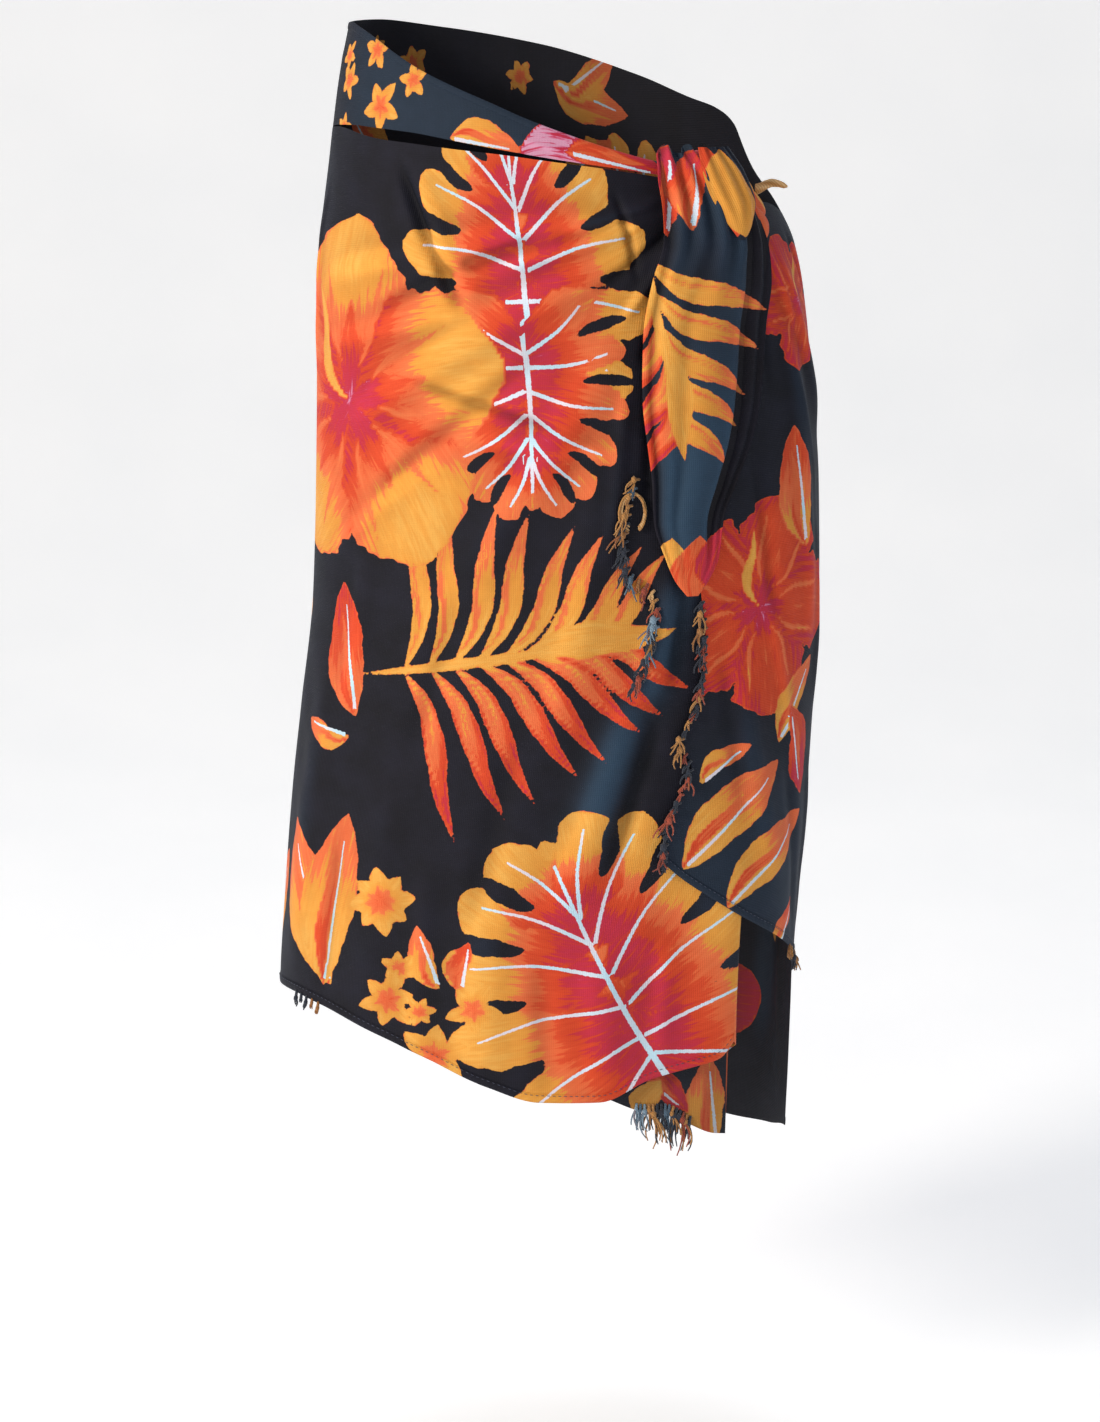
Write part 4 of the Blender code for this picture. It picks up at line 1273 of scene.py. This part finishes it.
def thread_material():
    """Polyester sewing thread in the ground's navy: fine, smooth and slightly shiny."""
    finish, tree, shader = new_material("sewing_thread")
    place = node(tree, "ShaderNodeTexCoord").outputs["Object"]
    speckle = node(tree, "ShaderNodeTexNoise", links={"Vector": place, "Scale": 900.0}).outputs["Fac"]
    colour = colour_steps(tree, speckle, ((0.3, "#2b2f40"), (0.7, "#454b60")))
    tree.links.new(colour, shader.inputs["Base Color"])
    shader.inputs["Roughness"].default_value = 0.5
    return finish


RAYON = rayon("printed_rayon")
RAYON_WRONG_SHADED = rayon("printed_rayon_wrong_side_shaded", wrong_side=True)
YARN = yarn_material()
THREAD = thread_material()


def add_object(name, bm, finishes):
    mesh = bpy.data.meshes.new(name)
    bm.to_mesh(mesh)
    bm.free()
    mesh.shade_smooth()
    piece = bpy.data.objects.new(name, mesh)
    for finish in finishes:
        piece.data.materials.append(finish)
    bpy.context.scene.collection.objects.link(piece)
    return piece


def store(mesh, name, values):
    kind, field = ("FLOAT", "value") if values.ndim == 1 else ("FLOAT_VECTOR", "vector")
    attribute = mesh.attributes.new(name, kind, "POINT")
    attribute.data.foreach_set(field, np.ascontiguousarray(values, np.float32).ravel())


def hollows(grid, flat, lift):
    """How far each point of a grid lies below the cloth round it, in millimetres."""
    order = np.lexsort((flat[:, 0].round(5), flat[:, 1].round(5)))
    field = lift[order].reshape(grid.rows + 1, grid.columns + 1)
    smooth = field
    for axis in (0, 1):
        for _ in range(2):
            sides = [(HOLLOW_CELLS, HOLLOW_CELLS) if k == axis else (0, 0) for k in (0, 1)]
            padded = np.pad(smooth, sides, "edge")
            windows = np.lib.stride_tricks.sliding_window_view(padded, 2 * HOLLOW_CELLS + 1, axis=axis)
            smooth = windows.mean(axis=-1)
    below = np.empty_like(lift)
    below[order] = (smooth - field).ravel()
    return below


def print_on(piece, x, y, shapes, lit=0.0):
    """Stores the print's fields on a piece's points, at their places on the flat cloth."""
    for name, values in printed(x, y, shapes).items():
        store(piece.data, name, values)
    store(piece.data, "lit", np.broadcast_to(lit, x.shape))
    store(piece.data, "cloth", np.stack((x, y, 0 * x), axis=-1))


def cloth_shell(name, grid, place, shapes, sheen, shift=0.0, run=None):
    """A thin shell of cloth on a grid laid at place(across, up), printed in its flat coordinates."""
    bm = bmesh.new()
    bmesh.ops.create_grid(bm, x_segments=grid.columns, y_segments=grid.rows, size=0.5)
    flat = np.array([vert.co for vert in bm.verts]) + 0.5
    angle, height, lift = place(flat[:, 0], flat[:, 1])
    points, _ = form(angle, height, lift)
    for vert, point in zip(bm.verts, points):
        vert.co = point
    for edge in bm.edges:
        edge.smooth = not edge.is_boundary
    piece = add_object(name, bm, [RAYON, RAYON_WRONG_SHADED])
    # Painted sheen, and on the tail painted shade, from the piece's sheen function, stored as the lit field
    lit = sheen(Laid(flat[:, 0], flat[:, 1], angle, height, lift))
    along = run(flat[:, 0], angle) if run else arc(angle) + shift
    print_on(piece, along, height, shapes, np.clip(lit, 0, 1))
    deep = hollows(grid, flat, lift) / HOLLOW_DEPTH
    store(piece.data, "hollow", np.clip(deep, HOLLOW_LEAST, 1))
    wall = piece.modifiers.new("thickness", "SOLIDIFY")
    wall.thickness = CLOTH_THICKNESS * MM
    wall.offset = -1
    wall.material_offset = 1
    wall.material_offset_rim = 0
    return piece


def tube_strand(bm, tone_layer, points, radius, end_radius, tone, sides=4):
    """A yarn end: a ring carried along its points, closed at both ends."""
    rings = []
    for i, point in enumerate(points):
        way = (points[min(i + 1, len(points) - 1)] - points[max(i - 1, 0)]).normalized()
        side = way.cross(Vector((0.1, 1, 0.05))).normalized()
        other = way.cross(side)
        size = between(radius, end_radius, i / (len(points) - 1)) * MM
        ring = []
        for k in range(sides):
            turn = math.tau * k / sides
            ring.append(bm.verts.new(point + (side * math.cos(turn) + other * math.sin(turn)) * size))
            ring[-1][tone_layer] = tone
        rings.append(ring)
    for low, high in zip(rings, rings[1:]):
        for k in range(sides):
            n = (k + 1) % sides
            bm.faces.new((low[k], low[n], high[n], high[k]))
    bm.faces.new(tuple(reversed(rings[0])))
    bm.faces.new(tuple(rings[-1]))


def yarn_loop():
    """The loose loop of yarn that hangs on the front below the long tail."""
    dice = random.Random(21)
    bm = bmesh.new()
    tone_layer = bm.verts.layers.float.new("tone")
    for _ in range(LOOP_YARNS):
        wide, tall = LOOP_WIDTH * dice.uniform(0.85, 1.1), LOOP_HEIGHT * dice.uniform(0.85, 1.1)
        turn = np.radians(np.linspace(LOOP_START, LOOP_END, LOOP_STEPS))
        px = LOOP_X + wide * np.cos(turn) + dice.uniform(-2, 2)
        py = LOOP_Y - tall * np.sin(turn) + dice.uniform(-2, 2)
        strand = []
        for x, y in zip(px, py):
            along, height = spot(x, y)
            angle = np.interp(along, ARC_LENGTHS, ARC_ANGLES)
            point, _ = form(angle, height, front_lift(angle, height) + dice.uniform(1.8, 2.6))
            strand.append(Vector(point))
        tube_strand(bm, tone_layer, strand, 1.0, 0.7, dice.uniform(0.8, 0.95), sides=5)
    bmesh.ops.recalc_face_normals(bm, faces=bm.faces)
    return add_object("front_end_loop", bm, [YARN])


def evenly(points, outs, step):
    """Points and outward ways at equal steps along an edge."""
    reach_at = np.concatenate(([0], np.cumsum(np.linalg.norm(np.diff(points, axis=0), axis=1))))
    count = max(2, round(reach_at[-1] / (step * MM)))
    at = (np.arange(count) + 0.5) / count * reach_at[-1]
    spaced = np.stack([np.interp(at, reach_at, points[:, k]) for k in range(3)], axis=1)
    ways = np.stack([np.interp(at, reach_at, outs[:, k]) for k in range(3)], axis=1)
    runs = np.gradient(spaced, axis=0)
    rows = zip(spaced, ways, runs)
    return [(Vector(p), Vector(o).normalized(), Vector(r).normalized()) for p, o, r in rows]


def tassels(name, points, outs, length, tones, seed, pitch=TASSEL_PITCH):
    """Knotted tassels along an edge: a neck, a small knot and soft yarn ends that hang from it."""
    dice = random.Random(seed)
    bm = bmesh.new()
    tone_layer = bm.verts.layers.float.new("tone")
    for point, out, run in evenly(points, outs, pitch):
        aside = run.cross(out).normalized()
        size = dice.uniform(0.55, 1.45)
        tone = dice.choice(tones)
        neck = point - aside * 1.5 * MM + out * 0.3 * MM
        knot = point + (aside * dice.uniform(1.5, 3.5) + out * 1.2 - Vector((0, 0, 1.5))) * size * MM
        tube_strand(bm, tone_layer, [neck, (neck + knot) / 2, knot], 1.0, 1.3, tone)
        before = set(bm.verts)
        ball = Matrix.Translation(knot) @ Matrix.Diagonal((1, 1, 1.3, 1))
        bmesh.ops.create_icosphere(bm, subdivisions=1, radius=TASSEL_KNOT_RADIUS * size * MM, matrix=ball)
        for vert in set(bm.verts) - before:
            vert[tone_layer] = tone
        for _ in range(TASSEL_YARNS):
            way = aside * dice.uniform(-0.15, 0.75) + out * dice.uniform(0.0, 0.3)
            way = (way + Vector((dice.uniform(-0.35, 0.35), 0, -1))).normalized()
            curl = Vector((dice.uniform(-1, 1), dice.uniform(-0.4, 0.1), dice.uniform(-0.2, 0.5)))
            far = length * size * dice.uniform(0.55, 1.15) * MM
            strand = []
            for i in range(6):
                share = i / 5
                swing = math.sin(2.6 * share) * 0.28 * far
                strand.append(knot + way * far * share + curl * swing)
            tube_strand(bm, tone_layer, strand, 0.85, 0.45, tone + dice.uniform(-0.05, 0.05))
    bmesh.ops.recalc_face_normals(bm, faces=bm.faces)
    return add_object(name, bm, [YARN])


# The stretch of an edge that a strip or a row of stitches covers, and its steps
Along = namedtuple("Along", "start end steps")


def edge_of(place, across, up, lift=0.0):
    angle, height, rise = place(np.asarray(across, float), np.asarray(up, float))
    return form(angle, height, rise + lift)


def hem_strip(name, place, along, shapes, sheen, shift=0.0, from_top=False, depth=HEM_DEPTH):
    """The turned and stitched edge: a narrow strip laid proud of the cloth along its edge."""
    bm = bmesh.new()
    bmesh.ops.create_grid(bm, x_segments=along.steps, y_segments=4, size=0.5)
    flat = np.array([vert.co for vert in bm.verts]) + 0.5
    across = between(along.start, along.end, flat[:, 0])
    edge = np.full_like(across, 1.0 if from_top else 0.0)
    angle, low, _ = place(across, edge)
    _, far, _ = place(across, 1 - edge)
    share = flat[:, 1] * depth / np.abs(far - low)
    up = edge + share * (-1 if from_top else 1)
    angle, height, lift = place(across, up)
    puckers = 0.12 * np.sin(arc(angle) * 1.1) * np.sin(np.pi * flat[:, 1])
    rounded = HEM_LIFT * np.sin(np.pi * (0.12 + 0.76 * flat[:, 1]))
    points, _ = form(angle, height, lift + rounded + puckers)
    for vert, point in zip(bm.verts, points):
        vert.co = point
    if from_top:
        bmesh.ops.reverse_faces(bm, faces=bm.faces)
    strip = add_object(name, bm, [RAYON])
    # Painted sheen from the piece's sheen function, stored as the lit field
    lit = np.clip(sheen(Laid(across, up, angle, height, lift)), 0, 1)
    print_on(strip, arc(angle) + shift, height, shapes, lit)
    wall = strip.modifiers.new("thickness", "SOLIDIFY")
    wall.thickness = HEM_THICKNESS * MM
    wall.offset = -1
    return strip


def stitches(name, place, along):
    """A row of straight stitches beside an edge, each a short thread pressed into the cloth."""
    across = np.linspace(along.start, along.end, along.steps * 3)
    _, low, _ = place(across, np.zeros_like(across))
    _, far, _ = place(across, np.ones_like(across))
    points, outs = edge_of(place, across, STITCH_INSET / np.abs(far - low), STITCH_LIFT)
    bm = bmesh.new()
    for point, out, run in evenly(points, outs, STITCH_PITCH):
        side = out.cross(run).normalized()
        turn = Matrix((run, side, out)).transposed().to_4x4()
        size = Matrix.Diagonal((STITCH_LENGTH, STITCH_WIDTH, STITCH_HEIGHT, 2 / MM)) * (MM / 2)
        matrix = Matrix.Translation(point) @ turn @ size
        bmesh.ops.create_icosphere(bm, subdivisions=1, radius=1, matrix=matrix)
    return add_object(name, bm, [THREAD])


def knot():
    """The knot: a rounded bundle wound round with twisted folds."""
    bm = bmesh.new()
    bmesh.ops.create_uvsphere(bm, u_segments=84, v_segments=56, radius=1)
    unit = np.array([vert.co for vert in bm.verts])
    across, inwards, up = unit[:, 0], unit[:, 1], unit[:, 2]
    inwards = np.where(inwards > 0, np.sqrt(np.abs(inwards)), inwards)
    middle = (KNOT_INNER_LIFT + KNOT_OUTER_LIFT) / 2
    half = (KNOT_OUTER_LIFT - KNOT_INNER_LIFT) / 2
    wraps = np.abs(np.sin(5.5 * across + 3.2 * up + 1.2 * np.sin(3 * up)))
    fold = 1 - 0.14 * (1 - wraps) ** 2 * ramp(-inwards, -0.3, 0.4)
    angle = KNOT_ANGLE + KNOT_HALF_ANGLE * across * fold
    height = KNOT_HEIGHT + KNOT_HALF_HEIGHT * up * fold
    points, _ = form(angle, height, middle - half * inwards * fold)
    for vert, point in zip(bm.verts, points):
        vert.co = point
    piece = add_object("knot_wound", bm, [RAYON])
    x, y = arc(angle), height
    shapes = [
        ray("leaf", arc(34), -100, 70, 0, 75, 26, 6, 0.1, 0.2),
        ray("leaf", arc(50), -104, 96, 0, 70, 24, -5, 0.5, 0.35),
        ray("blade", arc(55), -80, 80, 0, 36, 12, 2, 0.85, 0.7),
        ray("blade", arc(43), -110, 84, 0, 76, 12, 4, 0.0, 0.1),
    ]
    print_on(piece, x, y, shapes)
    return piece


def knot_tip():
    """The cloth's corner, twisted to a thin end that sticks out past the short tail."""
    root, _ = form(TIP_ANGLE, TIP_HEIGHT, TIP_LIFT)
    root = Vector(root)
    bm = bmesh.new()
    tone_layer = bm.verts.layers.float.new("tone")
    rings = []
    for i in range(TIP_STEPS + 1):
        share = i / TIP_STEPS
        middle = root + Vector((share * TIP_LENGTH, 0, TIP_RISE * math.sin(2.6 * share))) * MM
        size = TIP_RADIUS * (1 - 0.55 * share) * MM * min(1, 0.35 + 6 * (1 - share))
        ring = []
        for k in range(TIP_SIDES):
            turn = math.tau * k / TIP_SIDES
            twist = 1 + 0.16 * math.cos(3 * turn - 9 * share)
            offset = Vector((0, 0.7 * math.cos(turn), 1.2 * math.sin(turn))) * size * twist
            vert = bm.verts.new(middle + offset)
            vert[tone_layer] = 0.9 + 0.1 * math.sin(3 * turn - 9 * share)
            ring.append(vert)
        rings.append(ring)
    for low, high in zip(rings, rings[1:]):
        bmesh.ops.bridge_loops(bm, edges=ring_edges(bm, low) + ring_edges(bm, high))
    bm.faces.new(rings[0])
    bm.faces.new(rings[-1])
    bmesh.ops.recalc_face_normals(bm, faces=bm.faces)
    return add_object("knot_tip", bm, [YARN])


def ring_edges(bm, ring):
    """The edges round a ring of points, made if they aren't there."""
    edges = []
    for a, b in zip(ring, ring[1:] + ring[:1]):
        edges.append(bm.edges.get((a, b)) or bm.edges.new((a, b)))
    return edges


def wear(piece, *nodes):
    """Puts a piece on the body in place of CAD nodes."""
    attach(piece, "root")
    if nodes:
        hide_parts(*nodes)
    return piece


def make_sarong():
    front_shapes = front_print()
    around = back_print() + wing_print() + front_shapes
    front = wear(cloth_shell("front_cloth", FRONT_GRID, front_place, around, front_painted_sheen), "front_panel")
    back = wear(
        cloth_shell("back_cloth", BACK_GRID, back_place, around, back_painted_sheen, -GIRTH), "back_panel"
    )
    wing = wear(
        cloth_shell("wing_cloth", WING_GRID, wing_place, around, wing_painted_sheen, -GIRTH), "side_wing"
    )
    band_shapes = band_print()
    band = wear(cloth_shell("band_cloth", BAND_GRID, band_place, band_shapes, band_painted_sheen), "waist_band")
    turned_shapes = turned_print() + front_shapes
    turned = wear(
        cloth_shell(
            "turned_cloth", TURNED_GRID, turned_place, turned_shapes, turned_painted_sheen, run=turned_run
        ),
        "turned_end",
    )
    wound = wear(knot(), "knot")
    tail = wear(cloth_shell("tail_cloth", TAIL_GRID, tail_place, tail_print(), tail_painted_sheen_and_shade), "tail_long")
    short = wear(
        cloth_shell("short_tail_cloth", SHORT_GRID, short_place, short_print(), turned_painted_sheen),
        "tail_short",
    )
    tip = wear(knot_tip(), "knot_end")

    front_hem = wear(hem_strip("front_hem", front_place, Along(0, 1, 180), around, front_painted_sheen))
    back_hem = wear(hem_strip("back_hem", back_place, Along(0, 1, 190), around, back_painted_sheen, -GIRTH))
    wing_hem = wear(hem_strip("wing_hem", wing_place, Along(0, 1, 96), around, wing_painted_sheen, -GIRTH))
    band_edge = wear(
        hem_strip("band_edge", band_place, Along(0, 1, 150), band_shapes, band_painted_sheen, from_top=True, depth=5.0)
    )
    front_stitches = wear(stitches("front_hem_stitches", front_place, Along(0.005, 0.995, 180)))
    back_stitches = wear(stitches("back_hem_stitches", back_place, Along(0.005, 0.995, 190)))
    wing_stitches = wear(stitches("wing_hem_stitches", wing_place, Along(0.01, 0.99, 96)))

    tan = (0.7, 0.8, 0.92, 0.55, 0.1)
    navy = (0.05, 0.2, 0.36, 0.44, 0.56, 0.8)
    ragged = (0.7, 0.56, 0.6, 0.8, 0.05, 0.15)
    side = np.linspace(0, 1, 120)
    low, high = WING_SIDE[0].height, WING_SIDE[-1].height
    up = (between(WING_FRINGE_FROM, low, side) - low) / (high - low)
    wing_fringe = wear(
        tassels("wing_tassels", *edge_of(wing_place, 0 * up, up), 10, ragged, 3), "fringe_wing"
    )
    hem_side = np.linspace(12 / 18, 17 / 18, 40)
    wing_hem_fringe = wear(
        tassels("wing_hem_tassels", *edge_of(wing_place, hem_side, 0 * hem_side), 8, ragged, 4),
        "fringe_wing_hem",
    )
    run_height = np.linspace(FRONT_END_RUN[0].height, FRONT_END_RUN[-1].height, 90)
    run_angle = read(FRONT_END_RUN, "angle", run_height)
    run_lift = front_lift(run_angle, run_height) + FRONT_END_LIFT
    front_end = wear(
        tassels("front_end_tassels", *form(run_angle, run_height, run_lift), 11, navy + tan, 5),
        "fringe_front_end",
    )
    loop = wear(yarn_loop())
    under = np.linspace(TURNED_FRINGE_FROM, TURNED_FRINGE_TO, 60)
    turned_fringe = wear(
        tassels("turned_tassels", *edge_of(turned_place, under, 0 * under + 0.03, 0.8), 18, navy, 8, 3.2),
        "fringe_turned",
    )
    tuft_side = np.linspace(7 / 42, 11 / 42, 30)
    tuft = wear(
        tassels("hem_tuft_tassels", *edge_of(front_place, tuft_side, 0 * tuft_side), 6, tan, 11),
        "fringe_hem_tuft",
    )


def make_camera():
    data = bpy.data.cameras.new("photo_camera")
    data.sensor_fit = "VERTICAL"
    data.sensor_height = SENSOR_HEIGHT
    data.lens = SENSOR_HEIGHT * FOCAL_PIXELS / PHOTO_HEIGHT
    camera = bpy.data.objects.new("photo_camera", data)
    camera.location = CAMERA_PLACE
    camera.rotation_euler = (math.pi / 2 - CAMERA_DIP, 0, 0)
    bpy.context.scene.collection.objects.link(camera)
    bpy.context.scene.camera = camera


# Soft studio light: a large key from the front left, a weak fill, and a pale world
Lamp = namedtuple("Lamp", "name place aim size watts colour")
LAMPS = (
    Lamp("key", (-2.3, -1.9, 1.0), (0, 0, -0.35), 0.8, 76, "#fff6ea"),
    Lamp("fill", (0.6, -2.7, 0.2), (0, 0, -0.35), 1.8, 8, "#dce8ff"),
    Lamp("top", (-0.2, 0.8, 2.0), (0, 0, -0.2), 1.2, 16, "#eef4ff"),
)


WORLD_SEEN = 1.0
WORLD_LIGHT = 0.36


def make_light():
    for lamp in LAMPS:
        data = bpy.data.lights.new(lamp.name, "AREA")
        data.shape = "DISK"
        data.size = lamp.size
        data.energy = lamp.watts
        data.color = srgb(lamp.colour)[:3]
        light = bpy.data.objects.new(lamp.name, data)
        light.location = lamp.place
        way = Vector(lamp.aim) - Vector(lamp.place)
        light.rotation_euler = way.to_track_quat("-Z", "Y").to_euler()
        bpy.context.scene.collection.objects.link(light)
    world = bpy.data.worlds.new("pale_studio")
    world.use_nodes = True
    background = world.node_tree.nodes["Background"]
    background.inputs["Color"].default_value = srgb("#f4f6fa")
    seen = node(world.node_tree, "ShaderNodeLightPath").outputs["Is Camera Ray"]
    strength = node(
        world.node_tree, "ShaderNodeMath", {"operation": "MULTIPLY_ADD"},
        {0: seen, 1: WORLD_SEEN - WORLD_LIGHT, 2: WORLD_LIGHT},
    )
    world.node_tree.links.new(strength.outputs[0], background.inputs["Strength"])
    bpy.context.scene.world = world
    bpy.context.scene.view_settings.view_transform = "Standard"


def make_floor():
    """A pale floor that bends up into a pale wall far behind."""
    bm = bmesh.new()
    start = Vector((-FLOOR_HALF, -FLOOR_HALF, FLOOR_HEIGHT))
    edge = bm.edges.new((bm.verts.new(start), bm.verts.new(start + Vector((2 * FLOOR_HALF, 0, 0)))))
    run = bmesh.ops.extrude_edge_only(bm, edges=[edge])["geom"]
    far = [item for item in run if isinstance(item, bmesh.types.BMVert)]
    bmesh.ops.translate(bm, verts=far, vec=(0, FLOOR_HALF + WALL_NEAR, 0))
    bmesh.ops.spin(
        bm, geom=[e for e in bm.edges if all(v in far for v in e.verts)],
        cent=(0, WALL_NEAR, FLOOR_HEIGHT + WALL_CURVE), axis=(1, 0, 0), angle=math.pi / 2, steps=24,
    )
    top = max(vert.co.z for vert in bm.verts)
    rim = [e for e in bm.edges if all(v.co.z > top - MM for v in e.verts)]
    wall = bmesh.ops.extrude_edge_only(bm, edges=rim)["geom"]
    top_verts = [item for item in wall if isinstance(item, bmesh.types.BMVert)]
    bmesh.ops.translate(bm, verts=top_verts, vec=(0, 0, WALL_HEIGHT))
    bmesh.ops.recalc_face_normals(bm, faces=bm.faces)
    finish, tree, shader = new_material("pale_floor")
    place = node(tree, "ShaderNodeTexCoord").outputs["Object"]
    mottle = node(
        tree, "ShaderNodeTexNoise", links={"Vector": place, "Scale": 3.0, "Detail": 4.0}
    ).outputs["Fac"]
    tone = colour_steps(tree, mottle, ((0.3, "#f4f5f6"), (0.7, "#fafafa")))
    tree.links.new(tone, shader.inputs["Base Color"])
    shader.inputs["Roughness"].default_value = 0.9
    shader.inputs["Emission Color"].default_value = srgb("#ffffff")
    shader.inputs["Emission Strength"].default_value = FLOOR_GLOW
    add_object("floor", bm, [finish])


make_camera()
make_light()
make_floor()
make_sarong()
